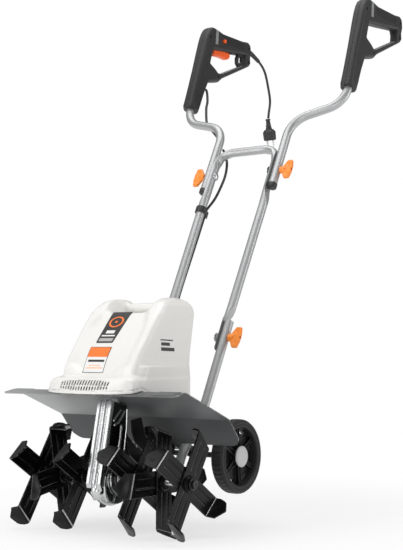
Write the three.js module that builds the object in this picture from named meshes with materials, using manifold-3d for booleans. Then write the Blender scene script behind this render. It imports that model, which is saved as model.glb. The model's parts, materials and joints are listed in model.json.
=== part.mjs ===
// Electric garden tiller: motor and worm gear leg over a row of six tine stars, folding tube
// handles with closed D grips, and a swinging pair of transport wheels.
// Millimetres, +Z up, +Y back towards the operator. In names, "right" is the +X side.
// Every piece is laid out about the tine shaft, whose centre is the design origin and which lies
// along X; the machine group then moves the whole to the bottom centre of its bounding box.
import * as THREE from 'three';
import { mergeVertices } from 'three/addons/utils/BufferGeometryUtils.js';
import Module from 'manifold-3d';

const manifold = await Module();
manifold.setup();

// ---------------------------------------------------------------- driving dimensions
const FRAME_Y = -439.320;         // shift from design origin to part origin, along Y
const FRAME_Z = 112.942;          // shaft centre height above the ground plane

const TUBE_R = 10.5;              // handle tubes, outside radius
const TUBE_WALL = 1.5;
const LEAN = 0.5288;              // handle plane: dy per dz
const LEAN_ANGLE = Math.atan(LEAN);
const PLANE_Y = 393.94;           // y of the handle plane at PLANE_Z
const PLANE_Z = 500;
const LOWER_JOINT_Z = 290;
const UPPER_JOINT_Z = 689;
const UPPER_X = 98;               // upper tube centre beside the middle frame
const MID_X = 88;                 // middle frame leg centre
const LOWER_X = 90;               // lower tube centre
const CLAMP_GAP = 0.4;            // clearance between clamped parts
const FLAT_HALF = 4.9;            // half thickness of the middle frame where it is pressed flat
const BOLT_R = 3;

const SHAFT_R = 8;
const SHAFT_HALF = 203;

const AXIS_TILT = 13.8;           // motor axis leans back from vertical, degrees
const CENTRE_DIST = 39;           // worm axis to shaft axis
const GEAR_PITCH_R = 31;          // worm wheel pitch radius
const WORM_PITCH_R = CENTRE_DIST - GEAR_PITCH_R;

const GRIP_X = 232;

// ---------------------------------------------------------------- materials
const material = (spec) => new THREE.MeshStandardMaterial(spec);
const finish = {
  hood: material({ color: 0xeae9e5, roughness: 0.4, metalness: 0 }),
  steel: material({ color: 0x6c6e70, roughness: 0.4, metalness: 0.7 }),
  cast: material({ color: 0xbfc1c4, roughness: 0.35, metalness: 0.85 }),
  black: material({ color: 0x161617, roughness: 0.3, metalness: 0.4 }),
  tube: material({ color: 0xb6b7b8, roughness: 0.35, metalness: 0.7 }),
  orange: material({ color: 0xf98a2a, roughness: 0.45, metalness: 0 }),
  trigger: material({ color: 0xf2581c, roughness: 0.4, metalness: 0 }),
  grip: material({ color: 0x3a3a3b, roughness: 0.65, metalness: 0 }),
  wheel: material({ color: 0x151516, roughness: 0.6, metalness: 0 }),
  cap: material({ color: 0xbababb, roughness: 0.4, metalness: 0 }),
  rod: material({ color: 0x8f9296, roughness: 0.3, metalness: 0.9 }),
  cable: material({ color: 0x111112, roughness: 0.55, metalness: 0 }),
  copper: material({ color: 0xa0623a, roughness: 0.4, metalness: 0.8 }),
  core: material({ color: 0x5c5f63, roughness: 0.5, metalness: 0.7 }),
  brass: material({ color: 0xb28a4a, roughness: 0.35, metalness: 0.9 }),
  seal: material({ color: 0x1b1b1c, roughness: 0.7, metalness: 0 }),
  fan: material({ color: 0x2a2a2b, roughness: 0.5, metalness: 0 }),
};

// ---------------------------------------------------------------- mesh helpers
const V = (x, y, z) => new THREE.Vector3(x, y, z);
const DEG = Math.PI / 180;
const { smoothstep, clamp } = THREE.MathUtils;

// Six times the signed volume; negative when the faces point inwards.
function signedVolume(p, triangles) {
  let sum = 0;
  for (let i = 0; i < triangles.length; i += 3) {
    const [a, b, c] = [triangles[i] * 3, triangles[i + 1] * 3, triangles[i + 2] * 3];
    sum += p[a] * (p[b + 1] * p[c + 2] - p[b + 2] * p[c + 1])
      - p[a + 1] * (p[b] * p[c + 2] - p[b + 2] * p[c])
      + p[a + 2] * (p[b] * p[c + 1] - p[b + 1] * p[c]);
  }
  return sum;
}
function faceOutwards(positions, triangles) {
  if (signedVolume(positions, triangles) >= 0) return;
  for (let i = 0; i < triangles.length; i += 3) {
    const second = triangles[i + 1];
    triangles[i + 1] = triangles[i + 2];
    triangles[i + 2] = second;
  }
}
function meshOf(positions, triangles) {
  const geometry = new THREE.BufferGeometry();
  geometry.setAttribute('position', new THREE.BufferAttribute(Float32Array.from(positions), 3));
  geometry.setIndex(triangles);
  return geometry;
}
const pointMesh = (points, triangles) => meshOf(points.flatMap((p) => [p.x, p.y, p.z]), triangles);

// Triangles of a planar ring, as index triples that run the same way round as the ring.
function capTriangles(ring) {
  const normal = V(0, 0, 0);
  ring.forEach((p, i) => {
    const q = ring[(i + 1) % ring.length];
    normal.x += (p.y - q.y) * (p.z + q.z);
    normal.y += (p.z - q.z) * (p.x + q.x);
    normal.z += (p.x - q.x) * (p.y + q.y);
  });
  normal.normalize();
  const across = Math.abs(normal.x) > 0.8 ? V(0, 1, 0) : V(1, 0, 0);
  across.addScaledVector(normal, -across.dot(normal)).normalize();
  const up = normal.clone().cross(across);
  const flat = ring.map((p) => new THREE.Vector2(p.dot(across), p.dot(up)));
  return THREE.ShapeUtils.triangulateShape(flat, []);
}
// Solid through a list of rings with the same number of points.
function loft(rings) {
  const n = rings[0].length;
  const last = (rings.length - 1) * n;
  const triangles = [];
  for (let row = 0; row < last; row += n) {
    for (let i = 0; i < n; i++) {
      const a = row + i;
      const b = row + (i + 1) % n;
      triangles.push(a, b, b + n, a, b + n, a + n);
    }
  }
  capTriangles(rings[0]).forEach(([a, b, c]) => triangles.push(c, b, a));
  capTriangles(rings.at(-1)).forEach(([a, b, c]) => triangles.push(last + a, last + b, last + c));
  return pointMesh(rings.flat(), triangles);
}
// Open-ended pipe: an outer and an inner wall joined by flat rings at both ends.
function pipe(outer, inner) {
  const n = outer[0].length;
  const last = (outer.length - 1) * n;
  const off = last + n;            // index of the first inner point
  const triangles = [];
  for (let row = 0; row < last; row += n) {
    for (let i = 0; i < n; i++) {
      const a = row + i;
      const b = row + (i + 1) % n;
      triangles.push(a, b, b + n, a, b + n, a + n);
      triangles.push(off + a, off + b + n, off + b, off + a, off + a + n, off + b + n);
    }
  }
  for (let i = 0; i < n; i++) {
    const j = (i + 1) % n;
    const [a, b] = [last + i, last + j];
    triangles.push(i, off + i, off + j, i, off + j, j);
    triangles.push(a, off + b, off + a, a, b, off + b);
  }
  return pointMesh([...outer.flat(), ...inner.flat()], triangles);
}

function toSolid(shape) {
  if (shape.getMesh) return shape;
  const bare = new THREE.BufferGeometry();
  bare.setAttribute('position', shape.attributes.position);
  bare.setIndex(shape.index);
  const merged = mergeVertices(bare, 1e-4);
  const positions = merged.attributes.position.array;
  const index = merged.index.array;
  const triangles = [];
  for (let i = 0; i < index.length; i += 3) {
    const [a, b, c] = [index[i], index[i + 1], index[i + 2]];
    if (a !== b && b !== c && a !== c) triangles.push(a, b, c);
  }
  faceOutwards(positions, triangles);
  return new manifold.Manifold(new manifold.Mesh({
    numProp: 3,
    vertProperties: Float32Array.from(positions),
    triVerts: Uint32Array.from(triangles),
  }));
}
function toGeometry(shape) {
  if (!shape.getMesh) return shape;
  const mesh = shape.getMesh();
  return meshOf(mesh.vertProperties, Array.from(mesh.triVerts));
}
const join = (...shapes) => shapes.map(toSolid).reduce((a, b) => a.add(b));
const cut = (...shapes) => shapes.map(toSolid).reduce((a, b) => a.subtract(b));
const common = (a, b) => toSolid(a).intersect(toSolid(b));
const mirrorX = (shape) => toGeometry(shape).clone().scale(-1, 1, 1);   // piece() refaces it

// ---------------------------------------------------------------- shape helpers
// Points on a circle as pairs, angles in degrees.
const arc = (cx, cy, r, from, to, steps) => Array.from({ length: steps + 1 }, (_, i) => {
  const angle = (from + (to - from) * i / steps) * DEG;
  return [cx + r * Math.cos(angle), cy + r * Math.sin(angle)];
});
const roundedRect = (x0, x1, y0, y1, frontR, backR, steps) => [
  ...arc(x1 - backR, y1 - backR, backR, 0, 90, steps),
  ...arc(x0 + backR, y1 - backR, backR, 90, 180, steps),
  ...arc(x0 + frontR, y0 + frontR, frontR, 180, 270, steps),
  ...arc(x1 - frontR, y0 + frontR, frontR, 270, 360, steps),
];
function counterClockwise(outline) {
  const points = outline.map(([x, y]) => new THREE.Vector2(x, y));
  return THREE.ShapeUtils.isClockWise(points) ? points.reverse() : points;
}
// Outline in (y, z), extruded along X from x0 to x1; the bevel stays inside the outline.
function plateYZ(outline, x0, x1, holes = [], bevel = 0) {
  const shape = new THREE.Shape(counterClockwise(outline));
  shape.holes = holes.map((hole) => new THREE.Path(counterClockwise(hole)));
  const plate = new THREE.ExtrudeGeometry(shape, {
    depth: x1 - x0 - 2 * bevel,
    steps: 1,
    bevelEnabled: bevel > 0,
    bevelThickness: bevel,
    bevelSize: bevel,
    bevelOffset: -bevel,
    bevelSegments: 2,
  });
  plate.applyMatrix4(new THREE.Matrix4().makeBasis(V(0, 1, 0), V(0, 0, 1), V(1, 0, 0)));
  return plate.translate(x0 + bevel, 0, 0);
}
// Outline in (x, y), extruded along Z from z0 to z1.
function plateXY(outline, z0, z1) {
  const shape = new THREE.Shape(outline.map(([x, y]) => new THREE.Vector2(x, y)));
  const options = { depth: z1 - z0, bevelEnabled: false, steps: 1 };
  return new THREE.ExtrudeGeometry(shape, options).translate(0, 0, z0);
}
const box = (x0, x1, y0, y1, z0, z1) => new THREE.BoxGeometry(x1 - x0, y1 - y0, z1 - z0)
  .translate((x0 + x1) / 2, (y0 + y1) / 2, (z0 + z1) / 2);
const rodX = (x0, x1, y, z, r, n = 16) => new THREE.CylinderGeometry(r, r, Math.abs(x1 - x0), n)
  .rotateZ(Math.PI / 2).translate((x0 + x1) / 2, y, z);
const rodY = (y0, y1, r, n, x = 0, z = 0) => new THREE.CylinderGeometry(r, r, y1 - y0, n)
  .translate(x, (y0 + y1) / 2, z);
// Lathe of a (radius, height) profile about local Y; one that starts off the axis is closed.
function lathe(profile, n = 18) {
  const closed = profile[0][0] === 0 ? profile : [...profile, profile[0]];
  return new THREE.LatheGeometry(closed.map(([r, h]) => new THREE.Vector2(r, h)), n);
}
const latheX = (profile, n) => lathe(profile, n).rotateZ(-Math.PI / 2);   // height along +X

// Path along a polyline with its inner corners rounded; bends lists [radius, steps] for each.
function rounded(corners, bends) {
  const path = [corners[0].clone()];
  bends.forEach(([radius, steps], i) => {
    const corner = corners[i + 1];
    const back = corners[i].clone().sub(corner).normalize();
    const ahead = corners[i + 2].clone().sub(corner).normalize();
    const half = Math.acos(clamp(back.dot(ahead), -1, 1)) / 2;
    const setback = radius / Math.tan(half);
    const inwards = back.clone().add(ahead).normalize();
    const centre = corner.clone().addScaledVector(inwards, radius / Math.sin(half));
    const start = corner.clone().addScaledVector(back, setback).sub(centre);
    const end = corner.clone().addScaledVector(ahead, setback).sub(centre);
    const turn = start.angleTo(end);
    const axis = start.clone().cross(end).normalize();
    for (let k = 0; k <= steps; k++) {
      path.push(centre.clone().add(start.clone().applyAxisAngle(axis, turn * k / steps)));
    }
  });
  path.push(corners.at(-1).clone());
  return path;
}
// Elliptical rings round a path. `shape(i, point)` gives the half size along the side
// direction, the half size across it, and an optional shift across.
function ringsAlong(path, side, shape, n = 10) {
  let normal = side;
  return path.map((point, i) => {
    const ahead = path[Math.min(i + 1, path.length - 1)];
    const tangent = ahead.clone().sub(path[Math.max(i - 1, 0)]).normalize();
    normal = normal.clone().addScaledVector(tangent, -normal.dot(tangent)).normalize();
    const acrossDir = tangent.clone().cross(normal).normalize();
    const { across, along, shift = 0 } = shape(i, point);
    return Array.from({ length: n }, (_, k) => {
      const angle = (k + 0.5) / n * 2 * Math.PI;
      return point.clone()
        .addScaledVector(acrossDir, across * Math.cos(angle) + shift)
        .addScaledVector(normal, along * Math.sin(angle));
    });
  });
}
const round = (r) => () => ({ across: r, along: r });
// Pipe of the handle tube's wall; sizeFor turns a radius into a ring shape.
const handleTube = (path, sizeFor = round) => pipe(
  ringsAlong(path, planeNormal, sizeFor(TUBE_R)),
  ringsAlong(path, planeNormal, sizeFor(TUBE_R - TUBE_WALL)),
);
function cord(stops, steps, shape, n) {
  const curve = new THREE.CatmullRomCurve3(stops.map((p) => V(...p)), false, 'centripetal');
  return loft(ringsAlong(curve.getPoints(steps), V(0.2, -0.9, 0.3).normalize(), shape, n));
}

// ---------------------------------------------------------------- placing pieces
const machine = new THREE.Group();
machine.position.set(0, FRAME_Y, FRAME_Z);

function piece(name, shape, look, parent = machine) {
  const geometry = toGeometry(shape);
  const positions = geometry.attributes.position;
  if (!geometry.index) geometry.setIndex(Array.from({ length: positions.count }, (_, i) => i));
  faceOutwards(positions.array, geometry.index.array);
  geometry.computeVertexNormals();
  const mesh = new THREE.Mesh(geometry, look);
  mesh.name = name;
  parent.add(mesh);
  return mesh;
}
const SIDES = [{ word: 'right', sign: 1 }, { word: 'left', sign: -1 }];
// A right-hand shape at [x, y, z]; on the left its geometry is mirrored.
function mirroredPiece(side, name, shape, look, [x, y, z] = [0, 0, 0]) {
  const mesh = piece(name, side.sign > 0 ? shape : mirrorX(shape), look);
  mesh.position.set(side.sign * x, y, z);
  return mesh;
}
// A round part at [x, y, z] facing +X; on the left it is turned to face -X.
function turnedPiece(side, name, shape, look, [x, y, z]) {
  const mesh = piece(name, shape, look);
  mesh.position.set(side.sign * x, y, z);
  if (side.sign < 0) mesh.rotation.z = Math.PI;
}

// ---------------------------------------------------------------- motor axis frame
const tilt = AXIS_TILT * DEG;
const axisFoot = V(0, -CENTRE_DIST * Math.cos(tilt), CENTRE_DIST * Math.sin(tilt));
const axisTurn = Math.PI / 2 - tilt;   // about X; turns local Y up the motor axis
function addMotorFrame() {
  const frame = new THREE.Group();
  frame.position.copy(axisFoot);
  frame.rotation.x = axisTurn;
  machine.add(frame);
  return frame;
}
// Cylinder on the motor axis, heights measured from the axis foot.
const axisRod = (low, high, r, n) => rodY(low, high, r, n).rotateX(axisTurn)
  .translate(axisFoot.x, axisFoot.y, axisFoot.z);

// ---------------------------------------------------------------- deck shield
const DECK_HALF = 225;            // half width of the sheet steel shield
const DECK_T = 2.2;
const DECK_PROFILE = [[-91, 173.5], [-52, 181], [99, 123], [148.5, 66]];   // top face, (y, z)
const DECK_PLAN = { front: -92, back: 150, frontR: 16, backR: 24 };
const PAD_X = [[165, 215], [-215, -165]];
// pressed pad section: (distance up the front slope, height off it)
const PAD_SECTION = [[7.5, -0.8], [35.5, -0.8], [33.5, 1.5], [9.5, 1.5]];

// Profile moved down by a thickness, mitred at its bends.
function offsetBelow(profile, thickness) {
  const normals = profile.slice(1).map(([y, z], i) => {
    const [dy, dz] = [y - profile[i][0], z - profile[i][1]];
    const length = Math.hypot(dy, dz);
    return [dz / length, -dy / length];
  });
  return profile.map(([y, z], i) => {
    const before = normals[i - 1] ?? normals[i];
    const after = normals[i] ?? before;
    const mean = [(before[0] + after[0]) / 2, (before[1] + after[1]) / 2];
    const reach = thickness / (mean[0] * before[0] + mean[1] * before[1]);
    return [y + mean[0] * reach, z + mean[1] * reach];
  });
}
{
  const underside = offsetBelow(DECK_PROFILE, DECK_T).reverse();
  const sheet = plateYZ([...DECK_PROFILE, ...underside], -DECK_HALF, DECK_HALF);
  const { front, back, frontR, backR } = DECK_PLAN;
  const plan = roundedRect(-DECK_HALF, DECK_HALF, front, back, frontR, backR, 5);
  const blank = cut(common(sheet, plateXY(plan, 40, 200)), axisRod(128, 188, 24, 20));
  // pressed pad, flat on top, near each front corner
  const [[y0, z0], [y1, z1]] = DECK_PROFILE;
  const slope = Math.hypot(y1 - y0, z1 - z0);
  const [dy, dz] = [(y1 - y0) / slope, (z1 - z0) / slope];
  const pad = PAD_SECTION.map(([s, h]) => [y0 + dy * s - dz * h, z0 + dz * s + dy * h]);
  const pads = PAD_X.map(([x0, x1]) => plateYZ(pad, x0, x1));
  piece('deck_shield', join(blank, ...pads), finish.steel);
}

// ---------------------------------------------------------------- motor hood
const HOOD = [ // z, front y, back y, left x, right x, plan corner radius
  [100, -92, 116, -102, 118, 45], [190, -92, 120, -102, 118, 45],
  [203, -89, 122, -100, 117, 44], [210, -80, 123, -97, 115, 42],
  [214, -66, 124, -94, 113, 40], [234, -55, 126, -92, 112, 38],
  [240, -47, 128, -88, 108, 34], [283, -17, 136, -84, 104, 30],
  [315, 7, 142, -81, 101, 28], [342, 32, 147, -78, 98, 26],
  [358, 52, 147, -75, 95, 24], [368, 70, 142, -69, 89, 22],
  [374, 90, 128, -58, 78, 17]];
const HOOD_WALL = 3;
const HOOD_CAVITY_BOTTOM = 90;    // below the hood, so that it is open there
const DECK_GAP = 0.4;             // hood edge above the deck
const SLOT = { count: 18, firstX: -59.8, pitch: 7.04, y: -91, z: 192, size: [3, 14, 17], turn: 0.28 };

function hoodRing([z, front, back, left, right, radius], inset) {
  const r = Math.max(radius - inset, 4);
  return roundedRect(left + inset, right - inset, front + inset, back - inset, r, r, 3)
    .map(([x, y]) => V(x, y, z));
}
// Front channel between the two raised cheeks; inset moves it into the hood's wall.
function hoodChannel(inset) {
  const face = HOOD.slice(4, 12).map(([z, front], i) => [front + (i ? 6 : 1) + inset, z]);
  const outline = [[-220, 214 - inset], ...face, [76 + inset, 400], [-220, 400]];
  return plateYZ(outline, -58 - inset, 78 + inset);
}
{
  const outer = loft(HOOD.map((station) => hoodRing(station, 0)));
  const cavity = loft(HOOD.map(([z, ...plan], i) => {
    const top = i === HOOD.length - 1 ? z - HOOD_WALL : z;
    return hoodRing([i === 0 ? HOOD_CAVITY_BOTTOM : top, ...plan], HOOD_WALL);
  }));
  // hand pocket under the carrying bar, and the walled room it takes from the cavity
  const pocket = plateYZ([[44, 400], [54, 340], [160, 336], [170, 400]], -44, 64);
  const pocketWalled = plateYZ([[40, 400], [51, 336.5], [163, 332], [170, 400]],
    -44 - HOOD_WALL, 64 + HOOD_WALL);
  const bar = plateYZ(arc(112, 357, 10, 0, 330, 11), -46, 66);
  // everything below the deck's top face
  const [deckFront, deckCrest, deckBend] = DECK_PROFILE;
  const under = plateYZ([
    [-200, deckFront[1] - 20], [deckFront[0] - 0.1, deckFront[1] + DECK_GAP],
    [deckCrest[0], deckCrest[1] + DECK_GAP], [deckBend[0], deckBend[1] + DECK_GAP],
    [deckBend[0] + 60, deckBend[1] - 69], [-200, 40],
  ], -200, 200);
  const slots = Array.from({ length: SLOT.count }, (_, i) => new THREE.BoxGeometry(...SLOT.size)
    .rotateY(SLOT.turn).translate(SLOT.firstX + i * SLOT.pitch, SLOT.y, SLOT.z));
  const hollow = cut(cavity, hoodChannel(HOOD_WALL), pocketWalled);
  const shell = join(cut(outer, hoodChannel(0), pocket, hollow), bar);
  piece('hood_cover', cut(shell, under, ...slots), finish.hood);
}

// ---------------------------------------------------------------- gear leg
// outlines in (y, z); the case bottom is an arc about the shaft
const CASE_HALF = 19;
const CASE_SPLIT = 0.15;          // each half stops this far from the middle plane
const CASE_BODY = [[-19, 160], [-56, -8], [-53, -20], ...arc(0, 0, 52, 203, 365, 8),
  [46, 30], [35, 58], [31, 100], [30, 142]];
const CASE_RIB = [[-24, 161], [-61, -6], [-58, -16], [-50, -14], [-14, 158]];
const CASE_SEAM = [[-17, 159], [-59, -8], [-56, -22], ...arc(0, 0, 56, 203, 365, 8),
  [50, 31], [39, 59], [34, 100], [33, 141]];
const SEAL_PROFILE = [[SHAFT_R + 0.5, 0], [13.5, 0], [13.5, 5], [10.5, 7], [SHAFT_R + 0.5, 7]];
const SEAL_X = 27.3;

function gearcaseHalf(sign) {
  const span = (near, far) => (sign > 0 ? [near, far] : [-far, -near]);
  return cut(
    join(
      plateYZ(CASE_BODY, ...span(CASE_SPLIT, CASE_HALF)),
      plateYZ(CASE_RIB, ...span(15.5, CASE_HALF)),
      plateYZ(CASE_RIB, ...span(CASE_SPLIT, 2.4)),
      plateYZ(CASE_SEAM, ...span(CASE_SPLIT, 3.5)),
      rodX(...span(10, 24), 0, 0, 33, 16),
      rodX(...span(10, 33), 0, 0, 20, 14),
    ),
    rodX(...span(-2, 11), 0, 0, 35.9, 20),             // worm wheel chamber
    rodX(...span(-2, 60), 0, 0, SHAFT_R + 0.6, 14),    // tine shaft
    rodX(...span(27, 60), 0, 0, 14.3, 14),             // seal seat
    axisRod(-36, 164, 12.4, 12),                       // worm shaft
    axisRod(150.2, 210.2, 60, 12),                     // top face, square to the motor axis
  );
}
for (const { word, sign } of SIDES) piece(`gearcase_${word}`, gearcaseHalf(sign), finish.cast);
for (const side of SIDES) {
  const seal = latheX(SEAL_PROFILE, 14);
  turnedPiece(side, `shaft_seal_${side.word}`, seal, finish.seal, [SEAL_X, 0, 0]);
}

// ---------------------------------------------------------------- motor
// turned parts: name, finish, (radius, height) profile on the motor axis, segments
const MOTOR_PARTS = [
  ['motor_base', 'cast', [[13.5, 150.6], [17.5, 150.6], [17.5, 166], [44, 166], [44, 170],
    [38, 170], [38, 190], [35.2, 190], [35.2, 170.6], [13.5, 170.6]], 18],
  ['motor_stator', 'core', [[25, 190.4], [38, 190.4], [38, 244], [25, 244]], 18],
  ['motor_end_cap', 'black', [[38, 244.4], [38, 252], [20, 273], [4.6, 273], [4.6, 269.6],
    [11.4, 269.6], [11.4, 262], [17.5, 262], [35, 251], [35, 244.4]], 18],
  ['top_bearing', 'rod', [[4.4, 262.4], [11, 262.4], [11, 269.2], [4.4, 269.2]], 20],
  ['lower_bearing', 'rod', [[4.0, -34], [11.5, -34], [11.5, -27], [4.0, -27]], 20],
  ['armature', 'copper', [[0, -36], [3.6, -36], [3.6, 136], [5, 138], [5, 195], [24.4, 195],
    [24.4, 240], [12, 241], [12, 257], [4.1, 258], [4.1, 271], [0, 271]], 18],
];
const FAN_DISC = [[5.4, 173], [9, 173], [9, 176], [31, 174.5], [31, 176.5], [9, 184], [5.4, 184]];
const FAN_BLADES = 9;
{
  const frame = addMotorFrame();
  for (const [name, look, profile, n] of MOTOR_PARTS) {
    piece(name, lathe(profile, n), finish[look], frame);
  }
  const blades = Array.from({ length: FAN_BLADES }, (_, i) => new THREE.BoxGeometry(20, 8.6, 1.6)
    .translate(20, 179.5, 0).rotateY(i * 2 * Math.PI / FAN_BLADES));
  piece('cooling_fan', join(lathe(FAN_DISC), ...blades), finish.fan, frame);
}

// ---------------------------------------------------------------- worm and wheel
const GEAR_TEETH = 25;
const GEAR_HALF = 8;              // half face width of the worm wheel
const TOOTH_PITCH = 2 * Math.PI * GEAR_PITCH_R / GEAR_TEETH;
const TOOTH = [[-0.18, -2.4], [-0.075, 2], [0.075, 2], [0.18, -2.4]];   // pitches, radius change
const WORM = { turns: 3, ringsPerTurn: 6, points: 12, boreR: 4 };
const THREAD_CREST_R = WORM_PITCH_R + 1.9;
const THREAD_ROOT_R = WORM_PITCH_R - 2.1;

// Thread radius at an axial distance from the crest, in pitches.
function threadRadius(pitches) {
  const d = Math.abs(pitches - Math.round(pitches));
  if (d < 0.1) return THREAD_CREST_R;
  return d < 0.24 ? THREAD_CREST_R - (d - 0.1) / 0.14 * 4 : THREAD_ROOT_R;
}
{
  // angle zero faces the worm wheel, which lies on local -Z
  const wormRing = (height, radiusAt) => Array.from({ length: WORM.points }, (_, k) => {
    const part = k / WORM.points;
    const angle = part * 2 * Math.PI;
    const r = radiusAt(part);
    return V(r * Math.sin(angle), height, -r * Math.cos(angle));
  });
  const rows = WORM.turns * WORM.ringsPerTurn;
  const heights = Array.from({ length: rows + 1 },
    (_, i) => (i / rows - 0.5) * WORM.turns * TOOTH_PITCH);
  const outer = heights.map((height, i) => wormRing(height, (part) => (
    i === 0 || i === rows ? THREAD_ROOT_R : threadRadius(height / TOOTH_PITCH - part))));
  const bore = heights.map((height) => wormRing(height, () => WORM.boreR));
  piece('worm', pipe(outer, bore), finish.rod, addMotorFrame());
}
{
  // worm wheel: teeth twisted across the face by the worm's lead
  const leadSlope = TOOTH_PITCH / (2 * Math.PI * WORM_PITCH_R);
  const start = Math.atan2(axisFoot.z, axisFoot.y);   // direction of the worm from the shaft
  const slices = [-GEAR_HALF, GEAR_HALF].map((x) => {
    const twist = -leadSlope * x / GEAR_PITCH_R;
    const ring = [];
    for (let k = 0; k < GEAR_TEETH; k++) {
      for (const [offset, rise] of TOOTH) {
        const angle = start + (k + 0.5 + offset) / GEAR_TEETH * 2 * Math.PI + twist;
        const r = GEAR_PITCH_R + rise;
        ring.push(V(x, r * Math.cos(angle), r * Math.sin(angle)));
      }
    }
    return ring;
  });
  const bore = rodX(-20, 20, 0, 0, SHAFT_R + 0.3, 24);
  piece('worm_wheel', cut(loft(slices), bore), finish.brass);
}

// ---------------------------------------------------------------- tine shaft and stars
const STAR_X = [72, 132, 192];
const STAR_PHASE = { right: [57, 90, 57], left: [57, 100, 57] };   // degrees, innermost first
const BLADE_HALF = 24;            // half width of a blade
const BLADE_T = 4;
const BEND_R = 101;               // shaft centre to the blade's bend line
const BEND_SKEW = 16;             // degrees
const FLANGE_L = 34;
const FLANGE_T = BLADE_T - 0.4;
const FLANGE_BEND = 74;           // degrees out of the star's plane
const HUB_R = 15;
const FLANGE = [ // (outwards from the bend, across the blade)
  [-1.6, -BLADE_HALF * 0.97], [FLANGE_L * 0.55, -BLADE_HALF * 0.95],
  [FLANGE_L, -BLADE_HALF * 0.1], [FLANGE_L * 0.72, BLADE_HALF * 0.8],
  [-1.6, BLADE_HALF * 0.97]];

piece('tine_shaft', rodX(-SHAFT_HALF, SHAFT_HALF, 0, 0, SHAFT_R, 16), finish.rod);

// One flat strip through the shaft centre; its ends turn to opposite sides along skewed bends.
function strip(x0, phase) {
  const w = BLADE_HALF;
  const skew = Math.tan(BEND_SKEW * DEG) * w;
  const outline = [[-(BEND_R + skew), -w], [BEND_R - skew, -w],
    [BEND_R + skew, w], [-(BEND_R - skew), w]];
  const flanges = [-1, 1].map((sign) => plateYZ(FLANGE, -FLANGE_T / 2, FLANGE_T / 2)
    .rotateZ(-sign * FLANGE_BEND * DEG)
    .rotateX(-BEND_SKEW * DEG)
    .translate(x0 + BLADE_T / 2, BEND_R - 1.5, 0)
    .rotateX((phase + (sign > 0 ? 180 : 0)) * DEG));
  return join(plateYZ(outline, x0, x0 + BLADE_T).rotateX(phase * DEG), ...flanges);
}
function star(phase) {
  const hub = rodX(-22, 9, 0, 0, HUB_R, 12);
  const solid = join(hub, strip(-BLADE_T, phase + 90), strip(-0.5, phase));
  return cut(solid, rodX(-60, 60, 0, 0, SHAFT_R + 0.6, 12));
}
for (const side of SIDES) {
  STAR_X.forEach((x, i) => {
    const shape = star(STAR_PHASE[side.word][i]);
    mirroredPiece(side, `tine_star_${side.word}_${i + 1}`, shape, finish.black, [x, 0, 0]);
  });
}
for (const side of SIDES) {
  const bolt = join(rodX(2, 8, 0, 0, 9, 6), rodX(0.3, 2.5, 0, 0, 12.5, 20));   // head, washer
  mirroredPiece(side, `shaft_bolt_${side.word}`, bolt, finish.rod, [SHAFT_HALF + 0.1, 0, 0]);
}

// ---------------------------------------------------------------- rear bracket
const PIVOT_Y = 160;
const PIVOT_Z = 70;
const PIVOT_R = 4;
// side plates, outlines in (y, z)
const WEB = [[33, 118], [36, 92], [48, 70], [122, 14], [152, 14], [152, 34],
  [134, 34], [80, 82], [66, 122]];
const EAR = [[134, 30], [152, 16], [168, 56], [172, 62], [172, 78], [152, 78], [149, 64], [143, 52]];
const pivotHole = rodX(-60, 60, PIVOT_Y, PIVOT_Z, PIVOT_R + 0.4, 16);
{
  const plates = join(
    plateYZ(WEB, -26, -22),
    box(-57.2, 57.2, 132, 152, 14, 34),     // rear crossbar
    plateYZ(WEB, 22, 26),
    box(-24, 24, 60, 64, 76, 108),          // cross plate between the webs
    plateYZ(EAR, 36, 40),
    plateYZ(EAR, -40, -36),
  );
  const leftTrim = box(-60.5, -20, 128, 170, -20, 14.01);   // skims the left underside
  piece('rear_bracket', cut(plates, pivotHole, leftTrim), finish.black);
  piece('wheel_pivot_pin', rodX(-54, 54, PIVOT_Y, PIVOT_Z, PIVOT_R, 16), finish.rod);
}

// ---------------------------------------------------------------- transport wheels
const WHEEL_R = 79;
const WHEEL_IN = 141;             // inner face of the wheel
const AXLE_Y = 230;
const AXLE_Z = 36;
const AXLE_R = 6;
const WHEEL_BORE_R = AXLE_R + 0.4;
const CAP_OFFSET = 27.4;          // hubcap out from the wheel's inner face
const WHEEL_PROFILE = [[WHEEL_BORE_R, 0], [17, 0], [17, 16], [58, 18], [58, 0], [76, 0],
  [WHEEL_R, 4], [WHEEL_R, 25], [76, 29], [63, 29], [60, 24], [23, 24], [20, 26.5],
  [WHEEL_BORE_R, 26.5]];
const CAP_PROFILE = [[0, 0], [19.5, 0], [22.5, -1.8], [22.5, 1.2], [18, 3.6], [0, 4.2]];
{
  const [dy, dz] = [AXLE_Y - PIVOT_Y, AXLE_Z - PIVOT_Z];
  const angle = Math.atan2(dz, dy) / DEG;
  const arm = [...arc(AXLE_Y, AXLE_Z, 13, angle - 90, angle + 90, 8),
    ...arc(PIVOT_Y, PIVOT_Z, 12, angle + 90, angle + 270, 8)];
  const [barY, barZ] = [PIVOT_Y + dy * 0.56, PIVOT_Z + dz * 0.56];
  const crossbar = box(-45, 45, barY - 8, barY + 8, barZ - 2, barZ + 2);
  const arms = join(plateYZ(arm, 43, 47), plateYZ(arm, -47, -43), crossbar);
  const axleHole = rodX(-60, 60, AXLE_Y, AXLE_Z, AXLE_R + 0.35, 16);
  piece('wheel_bracket', cut(arms, pivotHole, axleHole), finish.black);
  piece('wheel_axle', rodX(-168, 168, AXLE_Y, AXLE_Z, AXLE_R, 16), finish.rod);
  for (const side of SIDES) {
    turnedPiece(side, `wheel_${side.word}`, latheX(WHEEL_PROFILE, 24), finish.wheel,
      [WHEEL_IN, AXLE_Y, AXLE_Z]);
    turnedPiece(side, `hubcap_${side.word}`, latheX(CAP_PROFILE, 20), finish.cap,
      [WHEEL_IN + CAP_OFFSET, AXLE_Y, AXLE_Z]);
  }
}

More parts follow.
